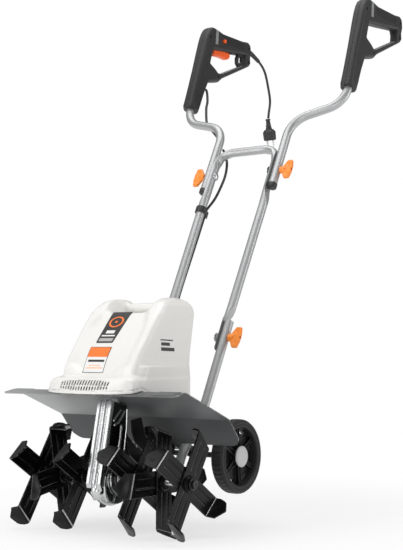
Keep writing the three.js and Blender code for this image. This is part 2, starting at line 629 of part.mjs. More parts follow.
// ---------------------------------------------------------------- handle tubes
const planeY = (z) => PLANE_Y + LEAN * (z - PLANE_Z);
const planeNormal = V(0, 1, -LEAN).normalize();
const onPlane = (x, z) => V(x, planeY(z), z);
const boltHole = (z) => rodX(-140, 140, planeY(z), z, BOLT_R + 0.35, 12);
// centre of the middle frame's flattened leg, clamped inside a tube centred at tubeX
const flatLegX = (tubeX) => tubeX - TUBE_R - CLAMP_GAP - FLAT_HALF;

{
  // lower tubes: round, in the handle plane, drawing inwards towards the foot
  const path = rounded([onPlane(69, 12), onPlane(69, 44), onPlane(LOWER_X, 150),
    onPlane(LOWER_X, 326)], [[60, 3], [60, 3]]);
  const tube = cut(handleTube(path), boltHole(LOWER_JOINT_Z));
  for (const side of SIDES) mirroredPiece(side, `lower_tube_${side.word}`, tube, finish.tube);
}

// Extra path points at the given heights on the straight runs.
function withStations(path, stations) {
  return path.flatMap((start, i) => {
    const end = path[i + 1];
    if (!end || Math.abs(end.z - start.z) <= 20) return [start];
    const low = Math.min(start.z, end.z) + 1;
    const high = Math.max(start.z, end.z) - 1;
    const inside = stations.filter((z) => z > low && z < high);
    inside.sort((p, q) => (start.z < end.z ? p - q : q - p));
    const lerp = (z) => start.clone().lerp(end, (z - start.z) / (end.z - start.z));
    return [start, ...inside.map(lerp)];
  });
}
{
  // middle frame: one bent tube, its legs pressed flat and set inwards beside the other tubes
  const footX = MID_X - 3;
  const leg = [onPlane(footX, 262), onPlane(footX, 330), onPlane(MID_X, 600), onPlane(MID_X, 748)];
  const otherLeg = leg.map((p) => V(-p.x, p.y, p.z)).reverse();
  const bends = [[400, 1], [400, 1], [46, 5], [46, 5], [400, 1], [400, 1]];
  const path = withStations(rounded([...leg, ...otherLeg], bends), [330, 341, 352, 620, 632, 644]);
  const sizeFor = (r) => (_, p) => {
    const flatLow = smoothstep(352 - p.z, 0, 22);
    const flatHigh = Math.min(smoothstep(p.z - 620, 0, 24), smoothstep(758 - p.z, 0, 26));
    const flat = Math.max(flatLow, flatHigh) * smoothstep(Math.abs(p.x) - 52, 0, 18);
    const inward = flatLow > 0 ? footX - flatLegX(LOWER_X) : MID_X - flatLegX(UPPER_X);
    // pressed thin across the legs, the tube spreads in the other direction;
    // round the bend one direction of shift is inwards for both legs
    return {
      across: r - flat * (TUBE_R - FLAT_HALF),
      along: r + flat * 2.4,
      shift: flat * inward,
    };
  };
  const holes = [boltHole(LOWER_JOINT_Z), boltHole(UPPER_JOINT_Z)];
  piece('middle_frame', cut(handleTube(path, sizeFor), ...holes), finish.tube);
}

const UPPER_FOOT_Z = 648;
const TUBE_CAP = [[0, -3.8], [9.4, -3.8], [10.4, -2.8], [10.4, -0.5],
  [TUBE_R - TUBE_WALL - 0.6, -0.5], [TUBE_R - TUBE_WALL - 0.9, 9], [0, 9]];
const gripFoot = V(GRIP_X, 604, 889);
const gripDir = V(GRIP_X, 687, 1105).sub(gripFoot).normalize();
const alongGrip = (distance) => gripFoot.clone().addScaledVector(gripDir, distance);
{
  const corners = [onPlane(UPPER_X, UPPER_FOOT_Z), onPlane(UPPER_X, 818),
    alongGrip(-39.6), alongGrip(120)];
  const tube = cut(handleTube(rounded(corners, [[36, 4], [34, 4]])), boltHole(UPPER_JOINT_Z));
  for (const side of SIDES) mirroredPiece(side, `upper_tube_${side.word}`, tube, finish.tube);
  for (const { word, sign } of SIDES) {
    const cap = piece(`tube_cap_${word}`, lathe(TUBE_CAP, 12), finish.grip);
    cap.position.copy(onPlane(sign * UPPER_X, UPPER_FOOT_Z));
    cap.rotation.x = Math.PI / 2 - LEAN_ANGLE;
  }
}

// ---------------------------------------------------------------- clamps
// bolts with a round head inside, and wing knobs outside
const WING = [ // (outwards, along the tube)
  [15, -25], [27, -25], [30, -8], [30, 8], [27, 25], [15, 25], [6, 8], [1, 8], [1, -8], [6, -8]];
const WING_HALF = 3.5;
const JOINTS = [['lower', LOWER_JOINT_Z, LOWER_X], ['upper', UPPER_JOINT_Z, UPPER_X]];

function clampBolt(length) {
  return latheX([[0, 0], [6, 0.8], [8.5, 3], [8.5, 3.6], [BOLT_R, 3.6], [BOLT_R, length],
    [0, length]], 16);
}
function wingKnob() {
  const wing = plateXY(WING, -WING_HALF, WING_HALF).rotateX(Math.PI / 2);
  const hub = new THREE.CylinderGeometry(8, 9, 14, 16).rotateZ(Math.PI / 2).translate(7, 0, 0);
  return cut(join(wing, hub), rodX(-38.2, 21.8, 0, 0, BOLT_R + 0.3, 12));
}
for (const [level, z, tubeX] of JOINTS) {
  const knobX = tubeX + TUBE_R + CLAMP_GAP;
  const seatX = flatLegX(tubeX) - FLAT_HALF - 0.7;
  for (const side of SIDES) {
    const tag = `${level}_${side.word}`;
    turnedPiece(side, `clamp_bolt_${tag}`, clampBolt(knobX - seatX + 20), finish.rod,
      [seatX - 4, planeY(z), z]);
    const knob = mirroredPiece(side, `wing_knob_${tag}`, wingKnob(), finish.orange,
      [knobX, planeY(z), z]);
    knob.rotation.x = -LEAN_ANGLE;
  }
}

// ---------------------------------------------------------------- D grips
// outlines in (y, z)
const GRIP_T = 34;                // grip thickness along X
const GRIP_BEVEL = 5;
const GRIP_SPLIT = 0.15;          // each shell stops this far from the grip's middle plane
const GRIP_OUTLINE = [[586, 896], [668, 1112], [675, 1124], [690, 1129], [712, 1127],
  [745, 1121], [840, 1121], [868, 1124], [880, 1118], [884, 1064], [876, 1056], [744, 998],
  [722, 984], [695, 979], [670, 973], [650, 938], [622, 882]];
const GRIP_OPENING = [[692, 1066], [680, 1028], [722, 1009], [744, 1013], [850, 1056],
  [854, 1084], [770, 1074]];
const HOOK = [[854, 1087], [854, 1058], [832, 1047.5], [822, 1055], [821, 1070], [829, 1084]];
const HOOK_OPENING = [[846, 1078], [846, 1063.5], [833, 1056.5], [829, 1060], [829, 1069],
  [835, 1078]];
const TRIGGER = [[703, 1077], [703, 1060], [710, 1054.5], [768, 1055], [778, 1060],
  [782, 1067], [780, 1075]];
const BUTTON = [[0, 0], [5.2, 0], [5.2, 11.4], [4.2, 12.6], [0, 13]];
const BUTTON_Y = 740;
const BUTTON_Z = 1098;

function gripSolid() {
  const body = plateYZ(GRIP_OUTLINE, GRIP_X - GRIP_T / 2, GRIP_X + GRIP_T / 2,
    [GRIP_OPENING], GRIP_BEVEL);
  const centre = alongGrip(46);
  const bore = rodY(-76, 76, TUBE_R + 0.35, 16).rotateX(Math.PI / 2 - Math.acos(gripDir.z))
    .translate(centre.x, centre.y, centre.z);
  return cut(body, bore);
}
// The grip as an inner and an outer shell, meeting at its middle plane.
function gripShells(side, solid) {
  const inner = box(GRIP_X - 40, GRIP_X - GRIP_SPLIT, 500, 950, 800, 1200);
  const outer = box(GRIP_X + GRIP_SPLIT, GRIP_X + 40, 500, 950, 800, 1200);
  const stem = `grip_${side.word}`;
  mirroredPiece(side, `${stem}_inner`, common(solid, inner), finish.grip);
  mirroredPiece(side, `${stem}_outer`, common(solid, outer), finish.grip);
}
{
  const [right, left] = SIDES;
  gripShells(right, gripSolid());
  // the left grip also carries a cord hook at the rear of its opening, and the switch
  const hook = plateYZ(HOOK, GRIP_X - 5, GRIP_X + 5, [HOOK_OPENING]);
  gripShells(left, cut(
    join(gripSolid(), hook),
    box(GRIP_X - 9, GRIP_X + 9, 700, 792, 1062, 1112),                // switch pocket
    rodX(GRIP_X - 30, GRIP_X - 6, BUTTON_Y, BUTTON_Z, 5.6, 16),       // lock button hole
    rodX(GRIP_X - 9, GRIP_X + 9, 776, 1070, 4, 12),
  ));
  const module = box(GRIP_X - 3, GRIP_X + 8.6, 704, 788, 1090, 1111);
  mirroredPiece(left, 'switch_module', module, finish.cable);
  mirroredPiece(left, 'trigger', plateYZ(TRIGGER, GRIP_X - 8, GRIP_X + 8), finish.trigger);
  const button = piece('lock_button', latheX(BUTTON, 16), finish.trigger);
  button.position.set(-(GRIP_X - 8.5), BUTTON_Y, BUTTON_Z);
}

// ---------------------------------------------------------------- cables and plug
const LEAD_R = 3.2;
const behind = (z, extra = 0) => [-MID_X, planeY(z) + 21 + extra, z];   // behind the left leg
const LEADS = [ // name, curve steps, points on the curve
  ['upper', 14, [[-213, 655, 941], [-206, 645, 915], [-198, 628, 893], [-178, 601, 850],
    [-166, 596, 834], [-144, 586, 816], [-118, 572, 792], [-108, 565, 778]]],
  ['middle', 22, [[-99, 559, 766], [-86, 550, 750], [-72, 536, 724], [-66, 519, 692],
    [-68, 501, 660], [-76, 488, 632], [-86, behind(611, 2)[1], 611], behind(602),
    behind(580), behind(505), behind(385), [-80, behind(352, 2)[1], 352],
    [-63, 323, 323], [-56, 301, 301], [-55, 291, 294]]],
  ['lower', 8, [[-51, 278, 281], [-46, 250, 272], [-42, 190, 252], [-44, 134, 238]]],
];
const SUPPLY_CORD = [[-232, 889, 1102], [-231, 912, 1094], [-229, 945, 1078], [-226, 965, 1055],
  [-222, 976, 1012], [-219, 980, 975], [-216, 968, 938], [-215, 964, 924]];
const CRADLE_Z = -18.6;           // lead cradle centre from the tube centre, local Z
const PLUG_BODY = [[0, -32], [17, -32], [19, -30], [18.5, -7], [12, 0], [0, 0]];
const PLUG_PIN_X = 9.5;

for (const [part, steps, stops] of LEADS) {
  piece(`motor_lead_${part}`, cord(stops, steps, round(LEAD_R), 6), finish.cable);
}
{
  // clip: a ring round the left leg with a smaller ring for the lead
  const shape = cut(
    join(rodY(-8, 8, 14, 16), rodY(-8, 8, 7.2, 12, 0, CRADLE_Z)),
    rodY(-15, 15, 11, 16),
    rodY(-15, 15, 4.4, 12, 0, CRADLE_Z),
  );
  const clip = piece('cable_clip', shape, finish.cable);
  clip.position.copy(onPlane(-MID_X, 600));
  clip.rotation.x = Math.PI / 2 - LEAN_ANGLE;
}
{
  // supply cord: a tapering sleeve over its first rings, then an even cord
  const sleeved = (i) => round(i < 5 ? 7 - i * 0.4 : 3.4)();
  piece('supply_cord', cord(SUPPLY_CORD, 14, sleeved, 8), finish.cable);
}
{
  const neck = new THREE.CylinderGeometry(5, 9, 30, 14).translate(0, 15, 0);
  const pins = [PLUG_PIN_X, -PLUG_PIN_X].map((x) => rodY(-51, -31, 2.4, 10, x));
  const plug = piece('plug', join(neck, lathe(PLUG_BODY, 20), ...pins), finish.cable);
  plug.position.set(-215, 967, 892);
  plug.rotation.x = Math.PI / 2 + 0.2;
}

const group = new THREE.Group();
group.add(machine);
export default group;
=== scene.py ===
# Electric garden tiller: its visible parts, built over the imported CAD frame.
# Design frame: millimetres about the tine shaft's centre, +X to the right, +Y towards the
# operator, +Z up. Most parts are made for the right side and reflected for the left.
import json
from itertools import product
from math import acos, atan, cos, hypot, pi, radians, sin, sqrt, tan

import bpy
import numpy as np
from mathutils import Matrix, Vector

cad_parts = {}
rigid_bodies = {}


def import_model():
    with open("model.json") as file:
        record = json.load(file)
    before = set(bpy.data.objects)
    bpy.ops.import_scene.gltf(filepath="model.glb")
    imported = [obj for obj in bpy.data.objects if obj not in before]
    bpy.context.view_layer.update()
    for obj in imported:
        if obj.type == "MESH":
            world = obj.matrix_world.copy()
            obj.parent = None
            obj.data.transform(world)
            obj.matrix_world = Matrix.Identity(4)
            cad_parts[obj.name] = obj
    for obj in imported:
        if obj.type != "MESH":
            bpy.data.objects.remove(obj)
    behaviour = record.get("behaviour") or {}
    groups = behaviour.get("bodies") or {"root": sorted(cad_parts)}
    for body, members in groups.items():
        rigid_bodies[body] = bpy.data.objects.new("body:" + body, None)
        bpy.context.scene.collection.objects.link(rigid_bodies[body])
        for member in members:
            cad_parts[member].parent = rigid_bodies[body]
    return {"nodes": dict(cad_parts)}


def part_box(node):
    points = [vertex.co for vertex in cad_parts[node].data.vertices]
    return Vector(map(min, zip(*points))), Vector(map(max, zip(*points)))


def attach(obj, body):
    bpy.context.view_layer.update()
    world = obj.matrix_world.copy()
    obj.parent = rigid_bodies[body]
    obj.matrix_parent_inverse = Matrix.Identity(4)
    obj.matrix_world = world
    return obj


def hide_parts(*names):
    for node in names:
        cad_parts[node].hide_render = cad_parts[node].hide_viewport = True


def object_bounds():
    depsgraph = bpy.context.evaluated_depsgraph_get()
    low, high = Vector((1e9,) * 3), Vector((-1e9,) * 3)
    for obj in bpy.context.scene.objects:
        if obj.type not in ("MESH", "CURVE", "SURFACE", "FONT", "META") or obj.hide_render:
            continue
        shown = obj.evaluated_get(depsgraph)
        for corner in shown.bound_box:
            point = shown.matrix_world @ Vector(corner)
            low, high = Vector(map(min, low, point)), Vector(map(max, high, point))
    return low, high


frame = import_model()
CAD_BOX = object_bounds()

ORIGIN = np.array([(low + high) / 2 for low, high in zip(*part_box("tine_shaft"))])
SIDES = (("right", 1), ("left", -1))


# ------------------------------------------------------------------ placing meshes
# A shape is (points, faces), or (points, quads, normals) when it comes from solid().
def volume(points, faces):
    total = 0.0
    for face in faces:
        first = points[face[0]]
        for i in range(1, len(face) - 1):
            total += float(np.dot(first, np.cross(points[face[i]], points[face[i + 1]])))
    return total / 6


def put(name, shape, materials, body, replaces, sharp=35, face_materials=None):
    """Makes a mesh object from a shape; materials is one key of MATERIALS or several."""
    points, faces, *normals = shape
    points = np.asarray(points, float)
    placed = points / 1000 + ORIGIN
    mesh = bpy.data.meshes.new(name)
    if normals:
        count, corners = faces.shape
        mesh.vertices.add(len(placed))
        mesh.vertices.foreach_set("co", placed.astype(np.float32).ravel())
        mesh.loops.add(count * corners)
        mesh.loops.foreach_set("vertex_index", faces.astype(np.int32).ravel())
        mesh.polygons.add(count)
        mesh.polygons.foreach_set("loop_start", (np.arange(count) * corners).astype(np.int32))
        mesh.update(calc_edges=True)
    else:
        if volume(points - points.mean(0), faces) < 0:
            faces = [tuple(reversed(face)) for face in faces]
        mesh.from_pydata(placed.tolist(), [], faces)
        mesh.update()
    mesh.validate()
    obj = bpy.data.objects.new(name, mesh)
    bpy.context.scene.collection.objects.link(obj)
    for key in [materials] if isinstance(materials, str) else materials:
        mesh.materials.append(MATERIALS[key])
    mesh.polygons.foreach_set("use_smooth", np.ones(len(mesh.polygons), bool))
    if face_materials is not None:
        mesh.polygons.foreach_set("material_index", np.asarray(face_materials, np.int32))
    if normals:
        mesh.normals_split_custom_set_from_vertices([tuple(n) for n in normals[0].astype(float)])
    else:
        mesh.set_sharp_from_angle(angle=radians(sharp))
    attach(obj, body)
    if replaces:
        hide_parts(replaces)


def mirrored(shape):
    points, faces, *normals = shape
    flip = np.array([-1.0, 1.0, 1.0])
    if isinstance(faces, np.ndarray):
        faces = faces[:, ::-1]
    else:
        faces = [tuple(reversed(face)) for face in faces]
    return (points * flip, faces, *(normal * flip for normal in normals))


def handed(shape, side):
    return shape if side > 0 else mirrored(shape)


def moved(shape, offset):
    return (shape[0] + np.array(offset, float), *shape[1:])


def turned(shape, matrix):
    points, faces, *normals = shape
    return (points @ matrix.T, faces, *(normal @ matrix.T for normal in normals))


def merge(*shapes):
    points, faces, start = [], [], 0
    for part_points, part_faces in shapes:
        points.append(np.asarray(part_points, float))
        faces += [tuple(int(i) + start for i in face) for face in part_faces]
        start += len(part_points)
    return np.vstack(points), faces


def turn_x(angle):
    c, s = cos(angle), sin(angle)
    return np.array([[1, 0, 0], [0, c, -s], [0, s, c]])


def unit(vector):
    vector = np.asarray(vector, float)
    return vector / np.linalg.norm(vector)


def smoothstep(t):
    t = np.clip(t, 0, 1)
    return t * t * (3 - 2 * t)


# ------------------------------------------------------------------ paths
def rounded(points, radii, steps):
    """A path with an arc at each inner corner; radii has one entry per inner corner."""
    corners = [np.array(p, float) for p in points]
    path = [corners[0]]
    for i, radius in enumerate(radii, 1):
        corner = corners[i]
        back, ahead = unit(corners[i - 1] - corner), unit(corners[i + 1] - corner)
        half = acos(np.clip(back @ ahead, -1, 1)) / 2
        cut_back = radius / tan(half)
        centre = corner + unit(back + ahead) * (radius / sin(half))
        start, end = corner + back * cut_back - centre, corner + ahead * cut_back - centre
        turn = acos(np.clip(unit(start) @ unit(end), -1, 1))
        axis = np.cross(start, end)
        axis = axis / (np.linalg.norm(axis) + 1e-12)
        count = max(2, int(steps if turn > 0.3 else steps / 3))
        for k in range(count + 1):
            angle = turn * k / count
            path.append(centre + start * cos(angle) + np.cross(axis, start) * sin(angle))
    path.append(corners[-1])
    return np.array(path)


def resample(path, step):
    """Adds points on long straight runs."""
    out = [path[0]]
    for start, end in zip(path[:-1], path[1:]):
        count = max(1, int(np.linalg.norm(end - start) / step))
        for k in range(1, count + 1):
            out.append(start + (end - start) * k / count)
    return np.array(out)


def thinned(path, gap):
    """Drops points closer than the gap, so that tangents stay steady."""
    out = [path[0]]
    for p in path[1:-1]:
        if np.linalg.norm(p - out[-1]) >= gap and np.linalg.norm(path[-1] - p) >= gap:
            out.append(p)
    out.append(path[-1])
    return np.array(out)


def catmull_rom(points, steps, straight_ends=False):
    """A smooth curve through the points; straight ends run on as if the path continued."""
    knots = np.array(points, float)
    first, last = knots[0], knots[-1]
    if straight_ends:
        first, last = 2 * knots[0] - knots[1], 2 * knots[-1] - knots[-2]
    knots = np.vstack([first, knots, last])
    out = []
    for i in range(len(knots) - 3):
        p0, p1, p2, p3 = knots[i:i + 4]
        for k in range(steps):
            t = k / steps
            out.append(0.5 * ((2 * p1) + (-p0 + p2) * t + (2 * p0 - 5 * p1 + 4 * p2 - p3) * t * t
                              + (-p0 + 3 * p1 - 3 * p2 + p3) * t ** 3))
    out.append(knots[-2])
    return np.array(out)


def frames(path, side):
    """Tangent, across and normal at each point, the normal kept near the side direction."""
    normal = np.array(side, float)
    out = []
    for i in range(len(path)):
        tangent = unit(path[min(i + 1, len(path) - 1)] - path[max(i - 1, 0)])
        normal = unit(normal - tangent * (normal @ tangent))
        out.append((tangent, np.cross(tangent, normal), normal))
    return out


# ------------------------------------------------------------------ skins, lathes and plates
def skin(rings, closed=False):
    """Faces over a stack of equal rings: capped, or closed into a loop of rings."""
    count, size = len(rings), len(rings[0])
    faces = []
    for r in range(count if closed else count - 1):
        q = (r + 1) % count
        for i in range(size):
            j = (i + 1) % size
            faces.append((r * size + i, r * size + j, q * size + j, q * size + i))
    if not closed:
        faces.append(tuple(reversed(range(size))))
        faces.append(tuple(range((count - 1) * size, count * size)))
    return np.vstack(rings), faces


def slab_faces(rows, columns, rim_start=0):
    """Faces of two stacked grids and the rim between them."""
    size = rows * columns
    faces = []
    for r in range(rows - 1):
        for i in range(columns - 1):
            a = r * columns + i
            b, c, d = a + 1, a + columns + 1, a + columns
            faces += [(a, b, c, d), (size + a, size + d, size + c, size + b)]
    last_row, last_column = (rows - 1) * columns, columns - 1
    rim = list(range(last_column))
    rim += [r * columns + last_column for r in range(rows - 1)]
    rim += [last_row + i for i in range(last_column, 0, -1)]
    rim += [r * columns for r in range(rows - 1, 0, -1)]
    for a, b in zip(rim, rim[1:] + rim[:1]):
        face = (b, a, size + a, size + b)
        faces.append(face[rim_start:] + face[:rim_start])
    return faces


def circle(radius, count):
    angle = np.arange(count) / count * 2 * pi
    return np.stack([radius * np.cos(angle), radius * np.sin(angle)], 1)


def sweep(path, side, section):
    """section(i) gives the (across, normal) points of ring i."""
    rings = []
    for i, (_, across, normal) in enumerate(frames(path, side)):
        ring = section(i)
        rings.append(path[i] + np.outer(ring[:, 0], across) + np.outer(ring[:, 1], normal))
    return skin(rings)


def pipe(path, tangents, offsets, wall=1.5, lip=0.45):
    """A hollow tube with softened rims; offsets are each ring's points about the path."""
    def inset(i, depth):
        centre = offsets[i].mean(0)
        spread = offsets[i] - centre
        radius = np.linalg.norm(spread, axis=1, keepdims=True)
        return path[i] + centre + spread * np.maximum(0.2, (radius - depth) / radius)

    outer = [p + offset for p, offset in zip(path, offsets)]
    last = len(path) - 1
    rings = [inset(0, lip), outer[0] + tangents[0] * lip, *outer[1:-1],
             outer[-1] - tangents[-1] * lip, inset(last, lip)]
    rings += [inset(i, wall) for i in range(last, -1, -1)]
    return skin(rings, closed=True)


def lathe(profile, count):
    """A (radius, x) profile turned about X; it is closed, or runs from axis to axis."""
    angles = np.arange(count) / count * 2 * pi
    points, rings = [], []
    for radius, x in profile:
        if radius < 1e-6:
            rings.append([len(points)] * count)
            points.append((x, 0, 0))
        else:
            rings.append(list(range(len(points), len(points) + count)))
            points += [(x, radius * cos(t), radius * sin(t)) for t in angles]
    faces = []
    total = len(profile)
    for i in range(total if profile[0][0] > 1e-6 else total - 1):
        ring, after = rings[i], rings[(i + 1) % total]
        for k in range(count):
            q = (k + 1) % count
            face = []
            for corner in (ring[k], ring[q], after[q], after[k]):
                if not face or face[-1] != corner:
                    face.append(corner)
            if face[0] == face[-1]:
                face.pop()
            if len(face) > 2:
                faces.append(tuple(face))
    return np.array(points, float), faces


def corner_curve(back, corner, ahead, size, share, steps):
    """Points that round a corner; back and ahead are the edges leaving it."""
    back_length, ahead_length = np.linalg.norm(back), np.linalg.norm(ahead)
    size = min(size, back_length * share, ahead_length * share)
    start, end = corner + back / back_length * size, corner + ahead / ahead_length * size
    return [tuple((1 - t) ** 2 * start + 2 * t * (1 - t) * corner + t * t * end)
            for t in (k / steps for k in range(steps + 1))]


def soft(profile, size, steps):
    """Rounds the corners of a (radius, x) profile."""
    points = [np.array(p, float) for p in profile]
    total = len(points)
    closed = points[0][0] > 1e-6
    out = []
    for i, p in enumerate(points):
        back, ahead = points[i - 1] - p, points[(i + 1) % total] - p
        lengths = np.linalg.norm(back), np.linalg.norm(ahead)
        at_end = not closed and i in (0, total - 1)
        if (at_end or min(lengths) < 1e-6
                or abs(np.cross(back / lengths[0], ahead / lengths[1])) < 0.15):
            out.append(tuple(p))
        else:
            out += corner_curve(back, p, ahead, size, 0.42, steps)
    return out


def spun(profile, ease, steps, count):
    """A lathe part with eased corners."""
    return lathe(soft(profile, ease, steps), count)


def round_poly(corners, size, steps=4):
    points = [np.array(p, float) for p in corners]
    out = []
    for i, p in enumerate(points):
        ahead = points[(i + 1) % len(points)] - p
        out += corner_curve(points[i - 1] - p, p, ahead, size, 0.4, steps)
    return out


def prism(corners, x0, x1, bevel):
    """A plate with the (y, z) outline, bevelled on both faces."""
    flat = np.array(corners, float)
    total = len(flat)
    doubled = sum(flat[i][0] * flat[(i + 1) % total][1] - flat[(i + 1) % total][0] * flat[i][1]
                  for i in range(total))
    if doubled < 0:
        flat = flat[::-1]
    miters = []
    for i in range(total):
        edge, after = unit(flat[i] - flat[i - 1]), unit(flat[(i + 1) % total] - flat[i])
        normal = np.array([edge[1], -edge[0]])
        both = normal + np.array([after[1], -after[0]])
        miters.append(both / max(0.35, both @ normal))
    inner = flat - np.array(miters) * bevel
    stack = ((x0, inner), (x0 + bevel, flat), (x1 - bevel, flat), (x1, inner))
    return skin([np.column_stack([np.full(total, x), ring]) for x, ring in stack])


def rod(radius, half_length, end_radius, inner_ring):
    """A round bar along X with chamfered ends and rings at +-inner_ring."""
    shoulder = half_length - 1.4
    half = [(radius, inner_ring), (radius, shoulder), (end_radius, half_length), (0, half_length)]
    return spun([(r, -x) for r, x in half[::-1]] + half, 0.2, 1, 40)


# ------------------------------------------------------------------ distance fields
def join(a, b, blend):
    h = np.clip(0.5 + 0.5 * (b - a) / blend, 0, 1)
    return b + (a - b) * h - blend * h * (1 - h)


def overlap(a, b, blend):
    return -join(-a, -b, blend)


def cut(body, tool, blend):
    return overlap(body, -tool, blend)


def band(value, centre, half):
    return np.abs(value - centre) - half


def disc(a, b, radius):
    return np.sqrt(a * a + b * b) - radius


def round_edge(a, b, radius):
    """Two faces meeting in a round edge; a and b are measured from the arc's centre."""
    corner = np.sqrt(np.maximum(a, 0) ** 2 + np.maximum(b, 0) ** 2)
    return corner + np.minimum(np.maximum(a, b), 0) - radius


def round_box(a, b, half_a, half_b, radius):
    return round_edge(np.abs(a) - (half_a - radius), np.abs(b) - (half_b - radius), radius)


def scored(body, line, depth, blend=0.4):
    """The body with a line cut into its skin."""
    return cut(body, cut(line, body + depth, 0.3), blend)


def segment_squared(a, b, start, end):
    """Squared distance to a segment in the plane."""
    along_a, along_b = end[0] - start[0], end[1] - start[1]
    from_a, from_b = a - start[0], b - start[1]
    length = along_a * along_a + along_b * along_b + 1e-9
    t = np.clip((from_a * along_a + from_b * along_b) / length, 0, 1)
    return (from_a - along_a * t) ** 2 + (from_b - along_b * t) ** 2


def polyline(a, b, points):
    """Distance to an open line in the plane."""
    line = np.array(points, np.float32)
    nearest = np.full(a.shape, 1e12, np.float32)
    for start, end in zip(line[:-1], line[1:]):
        nearest = np.minimum(nearest, segment_squared(a, b, start, end))
    return np.sqrt(nearest)


def outline(a, b, points):
    """Signed distance to a closed outline in the plane, negative inside."""
    corners = np.array(points, np.float32)
    nearest = np.full(a.shape, 1e12, np.float32)
    sign = np.ones(a.shape, np.float32)
    for i, corner in enumerate(corners):
        before = corners[i - 1]
        nearest = np.minimum(nearest, segment_squared(a, b, corner, before))
        above, below = b >= corner[1], b < before[1]
        left = (before[0] - corner[0]) * (b - corner[1]) > (before[1] - corner[1]) * (a - corner[0])
        flip = (above & below & left) | (~above & ~below & ~left)
        sign = np.where(flip, -sign, sign)
    return sign * np.sqrt(nearest)


def capsule(x, y, z, start, end, radius):
    start, end = np.array(start, np.float32), np.array(end, np.float32)
    axis = end - start
    reach = (x - start[0]) * axis[0] + (y - start[1]) * axis[1] + (z - start[2]) * axis[2]
    t = np.clip(reach / float(axis @ axis), 0, 1)
    return np.sqrt((x - start[0] - axis[0] * t) ** 2 + (y - start[1] - axis[1] * t) ** 2
                   + (z - start[2] - axis[2] * t) ** 2) - radius


def gradient(field, points, step=0.25):
    out = np.zeros(points.shape, np.float32)
    for k in range(3):
        ahead, behind = points.copy(), points.copy()
        ahead[:, k] += step
        behind[:, k] -= step
        out[:, k] = (field(*ahead.T) - field(*behind.T)) / (2 * step)
    return out


def solid(shape_field, low, high, cell, newton=3):
    """Closed quad mesh of field = 0 by naive surface nets: points, quads, normals.

    Blocks of cells far from the surface are sampled once; newton is the number of
    steps that pull the points onto the surface."""
    def field(x, y, z):
        return shape_field(x, y, z).astype(np.float32)

    block, safety = 4, 1.35
    low, high = np.array(low, float), np.array(high, float)
    size = np.ceil((high - low) / (cell * block)).astype(int) * block
    axes = [(low[k] + cell * (np.arange(size[k]) + 0.5)).astype(np.float32) for k in range(3)]
    middles = np.meshgrid(*(axis.reshape(-1, block).mean(1) for axis in axes), indexing="ij")
    coarse = field(*(grid.ravel() for grid in middles)).reshape(middles[0].shape)
    near = np.abs(coarse) < safety * (block / 2) * cell * sqrt(3) + cell

    def refine(grid):
        return np.repeat(np.repeat(np.repeat(grid, block, 0), block, 1), block, 2)

    distance = refine(coarse).astype(np.float32)
    index = np.nonzero(refine(near))
    distance[index] = field(*(axes[k][index[k]] for k in range(3)))
    # the grid's outermost samples count as outside, so that the mesh is closed
    for face in (distance[0], distance[-1], distance[:, 0], distance[:, -1],
                 distance[:, :, 0], distance[:, :, -1]):
        np.maximum(face, 0.01, out=face)
    distance[np.abs(distance) < 1e-5] = 1e-5
    inside = distance < 0

    corners = list(product((0, 1), repeat=3))
    cells_shape = np.array(inside.shape) - 1
    count = np.zeros(cells_shape, np.int8)
    for corner in corners:
        count += inside[tuple(slice(c, n + c) for c, n in zip(corner, cells_shape))]
    active = (count > 0) & (count < 8)
    cells = np.stack(np.nonzero(active), 1)
    ids = np.full(active.shape, -1, np.int64)
    ids[active] = np.arange(len(cells))
    values = {corner: distance[tuple(cells[:, k] + corner[k] for k in range(3))]
              for corner in corners}

    # one point per cell: the mean of the crossings on its edges
    total, crossings = np.zeros((len(cells), 3)), np.zeros(len(cells))
    for corner in corners:
        start = values[corner]
        for k in range(3):
            if corner[k]:
                continue
            end = values[corner[:k] + (1,) + corner[k + 1:]]
            crossed = (start < 0) != (end < 0)
            place = np.tile(np.array(corner, float), (len(cells), 1))
            place[:, k] = np.where(crossed, start / np.where(crossed, start - end, 1), 0)
            total += place * crossed[:, None]
            crossings += crossed
    points = (cells + total / crossings[:, None]) * cell + low + cell * 0.5

    # one quad round every grid edge that crosses the surface
    quads = []
    for k in range(3):
        u, v = (k + 1) % 3, (k + 2) % 3
        lower, upper = [slice(None)] * 3, [slice(None)] * 3
        lower[k], upper[k] = slice(0, -1), slice(1, None)
        start, end = inside[tuple(lower)], inside[tuple(upper)]
        edges = np.stack(np.nonzero(start != end), 1)
        edges = edges[(edges[:, u] > 0) & (edges[:, v] > 0)
                      & (edges[:, u] < inside.shape[u] - 1) & (edges[:, v] < inside.shape[v] - 1)]
        leaving = start[tuple(edges.T)]
        ring = []
        for step_u, step_v in ((-1, -1), (0, -1), (0, 0), (-1, 0)):
            place = edges.copy()
            place[:, u] += step_u
            place[:, v] += step_v
            ring.append(ids[tuple(place.T)])
        ring = np.stack(ring, 1)
        ring[~leaving] = ring[~leaving][:, ::-1]
        quads.append(ring)
    quads = np.vstack(quads)
    quads = quads[(quads >= 0).all(1)]

    points = points.astype(np.float32)
    for _ in range(newton):
        slope = gradient(field, points)
        step = -(field(*points.T) / np.maximum((slope ** 2).sum(1), 0.25))[:, None] * slope
        length = np.linalg.norm(step, axis=1)
        step *= np.minimum(1, 0.5 * cell / np.maximum(length, 1e-9))[:, None]
        points = points + step
    slope = gradient(field, points, 0.35 * cell)
    normals = slope / np.maximum(np.linalg.norm(slope, axis=1), 1e-9)[:, None]
    return points.astype(float), quads, normals


